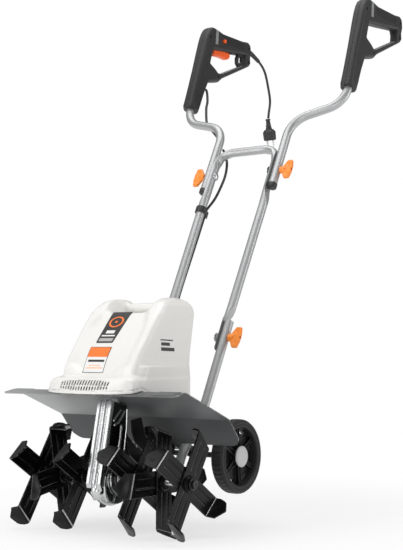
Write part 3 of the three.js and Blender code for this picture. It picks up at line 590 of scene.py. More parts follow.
# ------------------------------------------------------------------ materials
class Graph:
    """Adds shader nodes to a tree; an input takes a value or another node's output."""

    def __init__(self, tree):
        self.tree = tree

    def add(self, kind, inputs=None, **settings):
        node = self.tree.nodes.new("ShaderNode" + kind)
        for name, value in settings.items():
            setattr(node, name, value)
        for key, value in (inputs or {}).items():
            if isinstance(value, bpy.types.NodeSocket):
                self.tree.links.new(value, node.inputs[key])
            else:
                node.inputs[key].default_value = value
        return node

    def noise(self, vector, scale, detail):
        inputs = {"Scale": scale, "Detail": detail, "Roughness": 0.55, "Vector": vector}
        return self.add("TexNoise", inputs).outputs["Fac"]

    def ranged(self, value, from_min, from_max, to_min, to_max, **settings):
        inputs = {0: value, 1: from_min, 2: from_max, 3: to_min, 4: to_max}
        return self.add("MapRange", inputs, **settings).outputs[0]

    def mix(self, factor, first, second):
        return self.add("Mix", {0: factor, 6: first, 7: second}, data_type="RGBA").outputs[2]

    def math(self, operation, first, second):
        return self.add("Math", {0: first, 1: second}, operation=operation).outputs[0]


def surface(name, base, rough, metal=0.0, vary=0.06, fine=900.0, bump=0.02, bump_depth=0.0004,
            rough_vary=0.08, spec=0.5, coat=0.0, coat_rough=0.1, wear=None, wear_rough=0.3,
            wear_at=(0.52, 0.60), hollow_tone=None, dust=0.0, flake=0.0, streak=None, sss=0.0):
    """Painted, moulded or metal surface.

    vary and rough_vary: strength of the colour and roughness drift. fine: scale of the
    fine texture. streak: stretch of that texture. wear: colour of raised edges. A darker
    colour can also be mixed into hollows, in patches. wear_at: pointiness where wear starts
    and is full. dust: strength on upward faces. flake: strength of metallic flakes."""
    material = bpy.data.materials.new(name)
    material.use_nodes = True
    graph = Graph(material.node_tree)
    graph.tree.nodes.clear()
    vector = graph.add("TexCoord").outputs["Object"]
    fine_vector = vector
    if streak:
        fine_vector = graph.add("Mapping", {"Scale": streak, "Vector": vector}).outputs[0]

    def darker(share):
        return tuple(max(0.0, c * (1 - share)) for c in base) + (1.0,)

    lighter = tuple(min(1.0, c * (1 + vary) + 0.002) for c in base) + (1.0,)
    broad = graph.noise(vector, scale=7.0, detail=3.0)
    small = graph.noise(fine_vector, scale=fine, detail=5.0)
    color = graph.mix(graph.ranged(broad, 0.32, 0.68, 0.0, 1.0), darker(vary), lighter)
    color = graph.mix(graph.ranged(small, 0.35, 0.65, 0.0, 0.35), color, darker(vary * 1.6))
    drift = rough_vary * 0.5
    roughness = graph.math("ADD", graph.ranged(small, 0.3, 0.7, -rough_vary, rough_vary),
                           graph.ranged(broad, 0.3, 0.7, rough - drift, rough + drift))
    if flake:
        cells = graph.add("TexVoronoi", {"Scale": 2600.0, "Vector": vector}).outputs["Color"]
        color = graph.mix(graph.ranged(cells, 0.0, 1.0, 0.0, flake), color, lighter)
        glint = graph.ranged(cells, 0.0, 1.0, -flake * 0.25, flake * 0.25)
        roughness = graph.math("ADD", roughness, glint)
    if hollow_tone or wear or dust:
        geometry = graph.add("NewGeometry").outputs
    # a darker colour mixed into hollows, in patches
    if hollow_tone:
        hollow = graph.ranged(geometry["Pointiness"], 0.40, 0.485, 1.0, 0.0)
        patches = graph.ranged(graph.noise(vector, 55.0, 6.0), 0.35, 0.7, 0.35, 1.0)
        hollow_share = graph.math("MULTIPLY", hollow, patches)
        color = graph.mix(graph.math("MULTIPLY", hollow_share, 0.75), color, hollow_tone + (1.0,))
    if wear:
        edge = graph.ranged(geometry["Pointiness"], *wear_at, 0.0, 1.0)
        patches = graph.ranged(graph.noise(vector, 130.0, 5.0), 0.42, 0.6, 0.0, 1.0)
        edge = graph.math("MULTIPLY", edge, patches)
        color = graph.mix(edge, color, wear + (1.0,))
        kept = graph.math("MULTIPLY", roughness, graph.math("SUBTRACT", 1.0, edge))
        roughness = graph.math("ADD", kept, graph.math("MULTIPLY", edge, wear_rough))
    if dust:
        normal = graph.add("SeparateXYZ", {0: geometry["Normal"]}).outputs
        patches = graph.ranged(graph.noise(vector, 38.0, 6.0), 0.4, 0.7, 0.2, 1.0)
        upward = graph.math("MULTIPLY", graph.ranged(normal[2], 0.55, 1.0, 0.0, dust), patches)
        color = graph.mix(upward, color, (0.42, 0.40, 0.37, 1.0))
        roughness = graph.math("ADD", roughness, graph.math("MULTIPLY", upward, 0.35))
    height = graph.math("ADD", small, graph.math("MULTIPLY", broad, 0.6))
    relief = graph.add("Bump", {"Strength": bump, "Distance": bump_depth, "Height": height})
    inputs = {"Base Color": color, "Roughness": roughness, "Metallic": metal,
              "Specular IOR Level": spec, "Normal": relief.outputs[0]}
    if coat:
        inputs.update({"Coat Weight": coat, "Coat Roughness": coat_rough})
    if sss:
        inputs.update({"Subsurface Weight": sss, "Subsurface Scale": 1.0,
                       "Subsurface Radius": (0.004, 0.003, 0.002)})
    principled = graph.add("BsdfPrincipled", inputs)
    graph.add("OutputMaterial", {0: principled.outputs[0]})
    material.diffuse_color = base + (1.0,)
    return material


def paint_light_to_left(material):
    """Blends the colour to a light grey towards -X: painted light on the left side."""
    graph = Graph(material.node_tree)
    socket = graph.tree.nodes["Principled BSDF"].inputs["Base Color"]
    position = graph.add("SeparateXYZ", {0: graph.add("TexCoord").outputs["Object"]})
    factor = graph.ranged(position.outputs[0], -0.20, 0.03, 1.0, 0.0)
    grey = (0.36, 0.365, 0.37, 1.0)
    graph.tree.links.new(graph.mix(factor, socket.links[0].from_socket, grey), socket)


def fade_to_white(material):
    """Turns the floor into plain white emission away from the origin."""
    graph = Graph(material.node_tree)
    position = graph.add("NewGeometry").outputs["Position"]
    reach = graph.add("VectorMath", {0: position}, operation="LENGTH").outputs["Value"]
    factor = graph.ranged(reach, 0.18, 0.95, 0.60, 1.0, interpolation_type="SMOOTHSTEP")
    glow = graph.add("Emission", {0: (1, 1, 1, 1), 1: 1.0})
    plain = graph.tree.nodes["Principled BSDF"].outputs[0]
    faded = graph.add("MixShader", {0: factor, 1: plain, 2: glow.outputs[0]})
    graph.tree.links.new(faded.outputs[0], graph.tree.nodes["Material Output"].inputs[0])


def label_film(name, base, rough=0.4, **settings):
    return surface(name, base, rough, fine=1600, bump=0.03, **settings)


MATERIALS = {
    "hood": surface("hood_plastic", base=(0.79, 0.782, 0.752), rough=0.30, vary=0.012, fine=1400,
                    bump=0.05, rough_vary=0.04, coat=0.25, coat_rough=0.12,
                    hollow_tone=(0.60, 0.585, 0.55), dust=0.03),
    "vent": surface("vent_shadow_plastic", base=(0.16, 0.15, 0.135), rough=0.7, vary=0.1,
                    fine=1200, bump=0.05),
    # the deck steel comes in two copies: a darker one for the rear flap (painted shade) and a
    # lighter one for the front (painted light)
    "deck": surface("deck_coated_steel", base=(0.062, 0.064, 0.067), rough=0.42, metal=0.25,
                    vary=0.10, fine=1500, bump=0.05, wear=(0.30, 0.30, 0.30)),
    # lighter copy of the deck steel for the sheet's front: painted light
    "deck_painted_light_front": surface("deck_coated_steel_front", base=(0.10, 0.103, 0.107), rough=0.40,
                          metal=0.35, vary=0.10, fine=1500, bump=0.05,
                          wear=(0.34, 0.34, 0.34), spec=0.6),
    "cast": surface("cast_aluminium", base=(0.60, 0.605, 0.61), rough=0.22, metal=1.0,
                    vary=0.04, fine=420, bump=0.03, rough_vary=0.05),
    # dark copy of the cast aluminium for the leg's flat side face: painted shade, whose light
    # raised edges are painted highlights
    "cast_painted_shade_side": surface("cast_aluminium_dark_face", base=(0.052, 0.053, 0.055), rough=0.22,
                         metal=1.0, vary=0.25, fine=420, bump=0.14, rough_vary=0.07,
                         wear=(0.6, 0.6, 0.6), wear_rough=0.15),
    # darker copy of the cast aluminium for the bowl round the shaft: painted shade, whose light
    # raised edges are painted highlights
    "cast_painted_shade_bowl": surface("cast_aluminium_bowl", base=(0.13, 0.132, 0.135), rough=0.24,
                         metal=1.0, vary=0.30, fine=420, bump=0.18,
                         wear=(0.85, 0.85, 0.86), wear_rough=0.12),
    "black": surface("black_gloss_paint", base=(0.0028, 0.0028, 0.0030), rough=0.25, vary=0.18,
                     fine=240, bump=0.008, rough_vary=0.05, wear=(0.30, 0.30, 0.31),
                     wear_rough=0.25, wear_at=(0.545, 0.64), spec=0.17),
    # grey metallic copy of the black paint for a band on each bend: painted highlight
    "black_bend_highlight": surface("black_paint_worn_bend", base=(0.42, 0.42, 0.43), rough=0.28,
                          metal=0.8, vary=0.85, fine=210, bump=0.03, rough_vary=0.10),
    # grey copy of the black paint for a line along one groove's crest: painted highlight
    "black_crest_highlight": surface("black_paint_worn_crest", base=(0.13, 0.13, 0.135), rough=0.30,
                          metal=0.3, vary=0.9, fine=120, bump=0.03, rough_vary=0.10),
    "bracket": surface("black_bracket_paint", base=(0.0065, 0.0065, 0.007), rough=0.36,
                       vary=0.2, fine=900, bump=0.05, wear=(0.22, 0.22, 0.22),
                       wear_at=(0.56, 0.68), spec=0.3),
    "tube": surface("silver_tube_paint", base=(0.43, 0.434, 0.438), rough=0.36, metal=0.62,
                    vary=0.03, fine=2200, bump=0.02, rough_vary=0.04, flake=0.06,
                    coat=0.25, coat_rough=0.2),
    "orange": surface("orange_plastic", base=(0.95, 0.265, 0.022), rough=0.38, vary=0.05,
                      fine=1300, bump=0.10, rough_vary=0.06, wear=(1.0, 0.42, 0.12),
                      wear_rough=0.45, hollow_tone=(0.62, 0.13, 0.01), sss=0.05),
    "trigger": surface("switch_orange_plastic", base=(0.93, 0.115, 0.008), rough=0.33,
                       vary=0.05, fine=1300, bump=0.08, rough_vary=0.05,
                       wear=(1.0, 0.25, 0.06), hollow_tone=(0.5, 0.06, 0.005), sss=0.05),
    "grip": surface("charcoal_grip_plastic", base=(0.023, 0.023, 0.024), rough=0.44, vary=0.08,
                    fine=1900, bump=0.10, rough_vary=0.07, wear=(0.075, 0.075, 0.077),
                    wear_rough=0.32, wear_at=(0.53, 0.62), hollow_tone=(0.008, 0.008, 0.008),
                    spec=0.34),
    "grip_insert": surface("grip_insert_textured", base=(0.017, 0.017, 0.018), rough=0.60,
                           vary=0.16, fine=1100, bump=0.45, rough_vary=0.10,
                           bump_depth=0.0006, spec=0.3),
    "grip_trim": surface("grip_trim_grey_plastic", base=(0.235, 0.238, 0.24), rough=0.42,
                         vary=0.06, fine=1500, bump=0.15, wear=(0.36, 0.36, 0.36),
                         hollow_tone=(0.13, 0.13, 0.13)),
    "wheel": surface("black_wheel_plastic", base=(0.0115, 0.0115, 0.0117), rough=0.48,
                     vary=0.16, fine=1100, bump=0.12, wear=(0.05, 0.05, 0.05),
                     wear_rough=0.4, wear_at=(0.53, 0.62), spec=0.32),
    "wheel_disc": surface("black_wheel_disc_plastic", base=(0.0048, 0.0048, 0.005), rough=0.40,
                          vary=0.16, fine=1100, bump=0.10, wear=(0.04, 0.04, 0.04),
                          wear_rough=0.4, wear_at=(0.53, 0.62), spec=0.25),
    "cap": surface("grey_cap_plastic", base=(0.50, 0.505, 0.50), rough=0.40, vary=0.05,
                   fine=1500, bump=0.14, wear=(0.62, 0.62, 0.62), hollow_tone=(0.30, 0.30, 0.29),
                   dust=0.05),
    "steel": surface("zinc_plated_steel", base=(0.62, 0.63, 0.645), rough=0.26, metal=1.0,
                     vary=0.07, fine=600, bump=0.10, rough_vary=0.09, wear=(0.85, 0.85, 0.86),
                     hollow_tone=(0.25, 0.24, 0.22), streak=(1, 6, 6)),
    "bolt_dark": surface("blackened_bolt_steel", base=(0.02, 0.02, 0.021), rough=0.30,
                         metal=0.4, vary=0.12, fine=700, bump=0.10, wear=(0.4, 0.4, 0.4),
                         wear_at=(0.55, 0.66), spec=0.4),
    "cable": surface("black_cable_sheath", base=(0.014, 0.014, 0.0145), rough=0.43, vary=0.15,
                     fine=1600, bump=0.16, rough_vary=0.06, dust=0.05),
    "plastic": surface("black_moulded_plastic", base=(0.018, 0.018, 0.019), rough=0.42,
                       vary=0.14, fine=1500, bump=0.16, wear=(0.07, 0.07, 0.07), dust=0.05),
    "copper": surface("copper_winding", base=(0.55, 0.20, 0.075), rough=0.34, metal=0.9,
                      vary=0.12, fine=420, bump=0.5, streak=(1, 1, 9),
                      hollow_tone=(0.2, 0.07, 0.03)),
    "core": surface("laminated_core_steel", base=(0.23, 0.235, 0.24), rough=0.42, metal=0.8,
                    vary=0.12, fine=520, bump=0.5, streak=(1, 1, 14)),
    "brass": surface("wheel_bronze", base=(0.66, 0.42, 0.16), rough=0.30, metal=1.0, vary=0.08,
                     fine=520, bump=0.12, hollow_tone=(0.25, 0.15, 0.05), wear=(0.85, 0.62, 0.3)),
    "seal": surface("seal_rubber", base=(0.015, 0.015, 0.015), rough=0.6, vary=0.15, fine=1200,
                    bump=0.2),
    "label_black": label_film("label_black_film", base=(0.022, 0.021, 0.021), rough=0.30,
                              vary=0.08, coat=0.3),
    "label_orange": label_film("label_orange_film", base=(0.90, 0.19, 0.018), rough=0.34,
                               vary=0.03, coat=0.3),
    "label_white": label_film("label_white_film", base=(0.80, 0.80, 0.79), rough=0.34,
                              vary=0.02, coat=0.3),
    "label_pale": label_film("label_pale_orange_print", base=(0.90, 0.52, 0.34), vary=0.03),
    "label_grey": label_film("label_grey_print", base=(0.42, 0.41, 0.40), vary=0.04),
    "floor": surface("pale_floor", base=(0.90, 0.90, 0.90), rough=0.72, vary=0.006, fine=90,
                     bump=0.01, spec=0.2),
}
# painted light: the front of the deck grows lighter towards the left
paint_light_to_left(MATERIALS["deck_painted_light_front"])
fade_to_white(MATERIALS["floor"])

# CAD nodes kept as they are, mostly inside the machine
CARRIED = {
    "cast": ["motor_base"],
    "core": ["motor_stator"],
    "plastic": ["motor_end_cap", "cooling_fan", "switch_module"],
    "steel": ["top_bearing", "lower_bearing", "worm", "wheel_pivot_pin"],
    "copper": ["armature"],
    "brass": ["worm_wheel"],
}
for key, node_names in CARRIED.items():
    for node_name in node_names:
        node = frame["nodes"][node_name]
        if not node.material_slots:
            node.data.materials.append(MATERIALS[key])
        for material_slot in node.material_slots:
            material_slot.link = "OBJECT"
            material_slot.material = MATERIALS[key]


# ------------------------------------------------------------------ handle tubes
# The tubes lie in a plane that leans back: y grows by LEAN for each millimetre of height.
LEAN, PLANE_Y = 0.5288, 393.94      # PLANE_Y is the plane's y at z = 500
TUBE_RADIUS = 10.5
GRIP_X = 232.0
UPPER_X, UPPER_FOOT_Z = 98, 648
UPRIGHT_TO_TUBES = turn_x(-atan(LEAN))
PLANE_NORMAL = unit((0, 1, -LEAN))


def plane_y(z):
    return PLANE_Y + LEAN * (z - 500)


def in_plane(x, z):
    return np.array([x, plane_y(z), z], float)


def round_pipe(path):
    ring = circle(TUBE_RADIUS, 32)
    bases = frames(path, PLANE_NORMAL)
    offsets = [np.outer(ring[:, 0], across) + np.outer(ring[:, 1], normal)
               for _, across, normal in bases]
    return pipe(path, [base[0] for base in bases], offsets)


def lower_tubes():
    corners = [in_plane(69, 12), in_plane(69, 44), in_plane(90, 150), in_plane(90, 326)]
    tube = round_pipe(resample(rounded(corners, [60, 60], 10), 14))
    for tag, side in SIDES:
        put(f"tube_lower_{tag}", handed(tube, side), "tube", "chassis", f"lower_tube_{tag}")


def pressed_ring(centre, across, normal):
    """A ring of the middle frame, pressed flat where a leg lies beside another tube."""
    ring = circle(TUBE_RADIUS, 64)
    sign = 1.0 if centre[0] >= 0 else -1.0
    leg_x, z = abs(centre[0]), centre[2]
    on_leg = smoothstep((leg_x - 52) / 18)
    low_press = np.clip((356 - z) / 26, 0, 1) * on_leg
    high_press = min(np.clip((z - 606) / 34, 0, 1), np.clip((762 - z) / 30, 0, 1)) * on_leg
    widest = 1 + 0.2 * max(low_press, high_press)
    offsets = np.outer(ring[:, 0], across) + np.outer(ring[:, 1] * widest, normal)
    if max(low_press, high_press) > 0:
        # amount, then the inner and outer faces of the fully pressed leg
        press, inner, outer = (low_press, 69.6, 79.2) if low_press > 0 else (high_press, 77.4, 87.0)
        low = (1 - press) * (leg_x - TUBE_RADIUS) + press * inner
        high = (1 - press) * (leg_x + TUBE_RADIUS) + press * outer
        squeezed = np.clip((centre[0] + offsets[:, 0]) * sign, low, high)
        offsets[:, 0] = squeezed * sign - centre[0]
    return offsets


def middle_frame():
    leg = [in_plane(85, 262), in_plane(85, 330), in_plane(88, 600), in_plane(88, 748)]
    corners = leg + [p * (-1, 1, 1) for p in leg[::-1]]
    path = resample(rounded(corners, [400, 400, 46, 46, 400, 400], 16), 7)
    bases = frames(path, PLANE_NORMAL)
    offsets = [pressed_ring(p, across, normal) for p, (_, across, normal) in zip(path, bases)]
    put("tube_middle_frame", pipe(path, [base[0] for base in bases], offsets), "tube",
        "u_frame", "middle_frame", sharp=28)


def upper_tubes():
    """The upper tubes, each with a plug whose lip wraps round the tube's foot."""
    grip_low, grip_high = np.array([GRIP_X, 604, 889.0]), np.array([GRIP_X, 687, 1105.0])
    grip_way = unit(grip_high - grip_low)
    foot = in_plane(UPPER_X, UPPER_FOOT_Z)
    corners = [foot, in_plane(UPPER_X, 818), grip_low - grip_way * 39.6, grip_low + grip_way * 120]
    tube = round_pipe(thinned(resample(rounded(corners, [62, 58], 16), 12), 1.5))
    cap = spun([(0, -4.6), (9.8, -4.6), (11.5, -3.0), (11.5, 7.5), (10.62, 8.0), (10.62, 0.2),
                (8.4, 0.2), (8.2, 9), (0, 9)], 0.7, 3, 36)
    up = unit((0, LEAN, 1))
    basis = np.column_stack([up, np.cross(PLANE_NORMAL, up), PLANE_NORMAL])
    cap = moved(turned(cap, basis), foot)
    for tag, side in SIDES:
        put(f"tube_upper_{tag}", handed(tube, side), "tube", f"handle_{tag}",
            f"upper_tube_{tag}")
        put(f"cap_tube_{tag}", handed(cap, side), "plastic", f"handle_{tag}",
            f"tube_cap_{tag}")


lower_tubes()
middle_frame()
upper_tubes()

# ------------------------------------------------------------------ clamp bolts and wing knobs
# columns: along the tube, outwards
KNOB_OUTLINE = [(-25, 15), (-25, 27.5), (-9, 31), (9, 31), (25, 27.5), (25, 15), (9, 5.5),
                (8, 0.6), (-8, 0.6), (-9, 5.5)]
# level, body of the bolt, height, tube's x, x of the inner face under the bolt
JOINTS = (("lower", "chassis", 290.0, 90.0, 68.6), ("upper", "u_frame", 689.0, 98.0, 76.6))


def knob_field(x, y, z):
    """x points outwards, y through the wing, z along the tube."""
    thick = 3.6 + 0.9 * np.clip((x - 6) / 24, 0, 1)
    wing = overlap(outline(z, x, KNOB_OUTLINE) + 0.2, np.abs(y) - thick, 2.4)
    hub = overlap(np.sqrt(y * y + z * z) - (8.6 - 0.10 * x), band(x, 7.4, 7.2), 2.2)
    knob = join(wing, hub, 2.5)
    for side_z, side_y in product((-1, 1), repeat=2):
        # finger hollow
        hollow = np.sqrt((x - 20.5) ** 2 + (z - side_z * 13.5) ** 2 / 1.7
                         + (y - side_y * (thick + 4.6)) ** 2) - 6.0
        knob = cut(knob, hollow, 1.2)
    # bore that shows the bolt's end
    return cut(knob, disc(y, z, 3.35), 0.5)


def clamp_bolt(length):
    """A domed head, a thin washer and a threaded end."""
    profile = [(0, -0.4), (3, -0.1), (6, 0.8), (8.2, 2.6), (8.6, 3.3), (8.6, 3.6), (10.6, 3.6),
               (10.8, 3.8), (10.8, 4.6), (3, 4.6)]
    x, pitch = length - 15, 1.25
    while x < length - 1.2:
        profile += [(3.0, x), (2.62, x + pitch / 2)]
        x += pitch
    profile += [(2.9, length - 1.0), (2.2, length - 0.2), (0, length)]
    return lathe(profile, 32)


def clamps():
    knob = turned(solid(knob_field, (-1.2, -12, -28), (33, 12, 28), 0.95), UPRIGHT_TO_TUBES)
    for level, bolt_body, z, tube_x, inner_x in JOINTS:
        knob_x, head_x = tube_x + TUBE_RADIUS + 0.4, inner_x - 4
        placed_knob = moved(knob, in_plane(knob_x, z))
        bolt = moved(clamp_bolt(knob_x - head_x + 24), in_plane(head_x, z))
        for tag, side in SIDES:
            end = f"{level}_{tag}"
            put(f"knob_{end}", handed(placed_knob, side), "orange", f"knob_{end}",
                f"wing_knob_{end}")
            put(f"bolt_{end}", handed(bolt, side), "steel", bolt_body, f"clamp_bolt_{end}",
                sharp=25)


clamps()

# ------------------------------------------------------------------ motor hood
# (y, z) outlines seen from the side, (x, z) outlines seen from the front
FRONT_YZ = [(-64, 196), (-60, 222), (-42, 252), (-17, 284), (6, 314), (28, 341), (48, 360),
            (70, 371), (92, 375.5)]
CROWN_YZ = [(104, 376), (126, 373), (141, 362), (147, 345)]
BODY_YZ = [(-64, 60), *catmull_rom(FRONT_YZ, 4), *catmull_rom(CROWN_YZ, 3),
           (142, 315), (136, 283), (126, 234), (118, 60)]
BODY_XZ = [(-88, 60), (-88, 205), (-88.5, 250), (-89.5, 300), (-87, 335), (-83, 353), (-75, 366),
           (-63, 373.5), (-50, 376), (66, 376), (79, 374), (91, 367), (100, 354), (104, 338),
           (104, 300), (105, 250), (110, 205), (112, 60)]
CHANNEL_FLOOR_YZ = [(-53, 224), (-35.5, 254), (-10.5, 286), (12, 314), (33, 339), (52, 353),
                    (68, 358.5), (84, 361)]
CHANNEL_YZ = [(-300, 215), (-57, 215), *catmull_rom(CHANNEL_FLOOR_YZ, 4), (84, 420), (-300, 420)]
APRON_YZ = [(-94.3, 60), (-94.3, 191), (-92.6, 201), (-85.5, 209), (-66, 214.5), (0, 218),
            (122, 218), (122, 60)]
APRON_XZ = [(-121, 60), (-113, 172), (-104, 196), (-99, 206), (-90, 214), (-74, 220), (100, 220),
            (113, 214), (118, 204), (118, 60)]
# (y, z) line of the shield under the hood, front to back
SHIELD_YZ = [(-91, 173.5), (-52, 181), (99, 123), (148.5, 66)]


def above_shield(y, z):
    """Distance above the planes of the shield's top face."""
    highest = None
    for (y0, z0), (y1, z1) in zip(SHIELD_YZ[:-1], SHIELD_YZ[1:]):
        length = hypot(y1 - y0, z1 - z0)
        height = (y - y0) * (-(z1 - z0) / length) + (z - z0) * ((y1 - y0) / length)
        highest = height if highest is None else np.maximum(highest, height)
    return highest


def hood_base(x, y, z):
    """The hood without its pocket, cuts and slots."""
    # upper body, whose sides open out a little towards the back
    flare = smoothstep((x + 10.0) / 60.0) - smoothstep((-x - 10.0) / 60.0)
    opened_x = x - flare * 0.045 * (y - 40.0)
    hood = overlap(outline(y, z, BODY_YZ), outline(opened_x, z, BODY_XZ), 12.0)
    # wider lower block with a level ledge round its top
    front = (np.interp(z, [214, 240, 283], [-63.0, -48.5, -17.0])
             - 2.5 * smoothstep((x - 52.0) / 32.0) - 1.5 * smoothstep((-x - 40.0) / 30.0))
    block = round_edge(np.maximum(x - 78.0, -52.0 - x),
                       np.maximum(front + 38.0 - y, y - 98.0), 38.0)
    block = block + 0.035 * np.maximum(z - 190.0, 0)
    hood = join(hood, overlap(block, z - 232.5, 7.0), 3.0)
    # apron with a bowed front
    bow = np.clip(np.abs(x - 4.0) / 114.0, 0, 1.2) ** 2.4 * 15.0
    apron = overlap(outline(y, z, APRON_YZ), outline(x, z, APRON_XZ), 26.0)
    hood = join(hood, overlap(apron, -(y + 94.3) + bow, 12.0), 5.0)
    # front channel between raised cheeks, dying out above the apron
    fade = 1.0 - smoothstep((238.0 - z) / 26.0)
    half = 67.0 - 14.0 * smoothstep((z - 305.0) / 50.0)
    channel = overlap(outline(y, z, CHANNEL_YZ), band(x, 8.0, half * (0.55 + 0.45 * fade)), 12.0)
    return cut(hood, channel, 15.0)


def hood_field(x, y, z):
    hood = hood_base(x, y, z)
    # hand pocket, with the carrying bar across it
    pocket = overlap(np.abs(x - 7.0) - 51.0 - 0.25 * (z - 356.0),
                     np.abs(y - 102.0 - (z - 356.0) * 0.12) - 54.0, 14.0)
    hood = cut(hood, overlap(pocket, 334.0 - z, 8.0), 16.0)
    bar = overlap(disc(y - 112.0, (z - 353.0) * 1.05, 10.5), band(x, 8.0, 62.0), 2.0)
    hood = join(hood, bar, 9.0)
    # the foot follows the shield, with a groove just above it
    height = above_shield(y, z)
    hood = overlap(hood, np.where(y < -91.8, 170.6 - z, -(height - 0.5)), 1.0)
    hood = scored(hood, band(height, 7.0, 0.55), 0.9, blend=0.5)
    # row of leaning slots in the apron's front, each crossed by a thin bar
    leaned = x - (z - 192.0) * 0.38
    pitch, first = 7.04, -59.8
    i = np.clip(np.round((leaned - first) / pitch), 0, 17)
    offset = leaned - (first + pitch * i)
    outer = (np.abs(i - 8.5) / 8.5) ** 2
    slots = round_box(offset, z - (192.6 - 0.6 * outer), 1.6, 10.4 - 3.0 * outer, 1.4)
    slots = overlap(slots, y + 74.0, 0.5)
    slots = overlap(slots, 0.75 - np.abs(z - 190.6 - 0.02 * offset), 0.3)
    hood = cut(hood, slots, 0.5)
    # row of slots low in the back wall
    j = np.clip(np.round((x - 8.0) / 9.0), -6, 6)
    back_slots = round_box(x - 8.0 - 9.0 * j, z - 262.0, 2.1, 13.0, 2.0)
    return cut(hood, overlap(back_slots, 108.0 - y, 0.5), 0.6)


def hood_shell():
    shape = solid(hood_field, (-124, -100, 96), (124, 158, 382), 2.0)
    centre = shape[0][shape[1]].mean(1)
    _, y, z = centre.T
    sunk = hood_base(*centre.astype(np.float32).T) < -2.2
    in_front = (z < 208) & (y < -68) & (z > 178)
    in_back = (y > 100) & (np.abs(z - 262) < 15)
    put("hood_shell", shape, ("hood", "vent"), "chassis", "hood_cover",
        face_materials=(sunk & (in_front | in_back)).astype(int))


# ------------------------------------------------------------------ labels on the hood
# facing axis, then the corners top left, top right, bottom right, bottom left:
# (x, z) on the front, (y, z) on the right side
FRONT_LABEL = ("y", [(-27.5, 341.6), (23.5, 341.6), (12.5, 277.0), (-31.5, 277.0)])
LOWER_LABEL = ("y", [(-38.7, 268.8), (17.2, 268.7), (20.5, 216.3), (-32.5, 216.3)])
SIDE_LABEL = ("x", [(27.4, 284.5), (75.0, 283.0), (75.8, 259.5), (28.2, 261.0)])
WHOLE = (0, 1, 0, 1)


def on_quad(quad, across, down):
    top = quad[0] * (1 - across) + quad[1] * across
    bottom = quad[3] * (1 - across) + quad[2] * across
    return top * (1 - down) + bottom * down


def film(name, label, span, material, lift=0.35, cells=(26, 34), corner=0.0, round_film=False):
    """A film on the hood. span: left, right, top and bottom as shares of the label;
    corner: how far the corners are pulled in."""
    axis, quad = label
    quad = np.array(quad, float)
    left, right, top, bottom = span
    quad = [on_quad(quad, *place)
            for place in ((left, top), (right, top), (right, bottom), (left, bottom))]
    columns, rows = cells
    flat = []
    for j in range(rows + 1):
        for i in range(columns + 1):
            across, down = i / columns, j / rows
            if round_film:
                a, b = 2 * across - 1, 2 * down - 1
                across = 0.5 + 0.5 * a * sqrt(1 - b * b / 2)
                down = 0.5 + 0.5 * b * sqrt(1 - a * a / 2)
            elif corner:
                reach = abs(2 * across - 1) + abs(2 * down - 1)
                near = max(0.0, reach - 2 + corner) / corner
                pull = 0.29 * corner * near * near / 2
                across = 0.5 + (across - 0.5) * (1 - pull)
                down = 0.5 + (down - 0.5) * (1 - pull)
            flat.append(on_quad(quad, across, down))
    flat = np.array(flat, np.float32)
    # start clear of the hood and walk onto its skin
    if axis == "y":
        points = np.stack([flat[:, 0], np.full(len(flat), -140, np.float32), flat[:, 1]], 1)
        way = np.array([0, 1, 0], np.float32)
    else:
        points = np.stack([np.full(len(flat), 150, np.float32), flat[:, 0], flat[:, 1]], 1)
        way = np.array([-1, 0, 0], np.float32)
    for _ in range(60):
        points = points + way * (hood_base(*points.T) * 0.85)[:, None]
    normals = gradient(hood_base, points.astype(np.float32), 1.5)
    normals /= np.linalg.norm(normals, axis=1)[:, None]
    layers = np.vstack([points + normals * lift, points - normals * 0.6]).astype(float)
    put(name, (layers, slab_faces(rows + 1, columns + 1)), material, "chassis", None,
        sharp=40)


def labels():
    film("label_front_black", FRONT_LABEL, WHOLE, "label_black", corner=0.1)
    # name, span, material, lift, cells, round
    for name, span, material, lift, cells, is_round in (
            ("ring", (0.13, 0.87, 0.15, 0.50), "label_orange", 0.55, (24, 24), True),
            ("ring_core", (0.22, 0.78, 0.19, 0.46), "label_black", 0.75, (22, 22), True),
            ("hub", (0.43, 0.57, 0.292, 0.358), "label_orange", 0.95, (10, 10), True),
            ("bar", (0.26, 0.74, 0.60, 0.695), "label_white", 0.55, (14, 4), False),
            ("bar_thin", (0.12, 0.88, 0.75, 0.79), "label_white", 0.55, (14, 3), False),
            ("panel", (0.10, 0.90, 0.85, 0.95), "label_grey", 0.55, (14, 4), False)):
        film("label_front_" + name, FRONT_LABEL, span, material, lift, cells,
             round_film=is_round)
    film("label_lower_edge", LOWER_LABEL, WHOLE, "label_black", corner=0.06)
    film("label_lower_white", LOWER_LABEL, (0.022, 0.978, 0.02, 0.98), "label_white", lift=0.5)
    for name, span, material, cells in (
            ("orange", (0.022, 0.978, 0.02, 0.39), "label_orange", (26, 12)),
            ("bar", (0.12, 0.90, 0.50, 0.585), "label_black", (18, 4)),
            ("bar_pale", (0.22, 0.78, 0.70, 0.74), "label_pale", (18, 3)),
            ("bar_wide", (0.12, 0.90, 0.79, 0.84), "label_pale", (18, 3))):
        film("label_lower_" + name, LOWER_LABEL, span, material, lift=0.65, cells=cells)
    for name, span, rows in (("line", (0.0, 0.84, 0.0, 0.10), 3),
                             ("bar", (0.04, 0.62, 0.26, 0.54), 4),
                             ("block", (0.02, 0.92, 0.70, 1.0), 5)):
        film("label_side_" + name, SIDE_LABEL, span, "label_black", cells=(18, rows))


hood_shell()
labels()

# ------------------------------------------------------------------ sheet steel shield
SHIELD_HALF, SHIELD_THICK = 225.0, 2.2
FRONT_CORNER, REAR_CORNER = 15.0, 30.0
LIT_COPY_END_Y = 96.0             # the lighter front copy, painted light, ends here; behind it the darker copy is painted shade
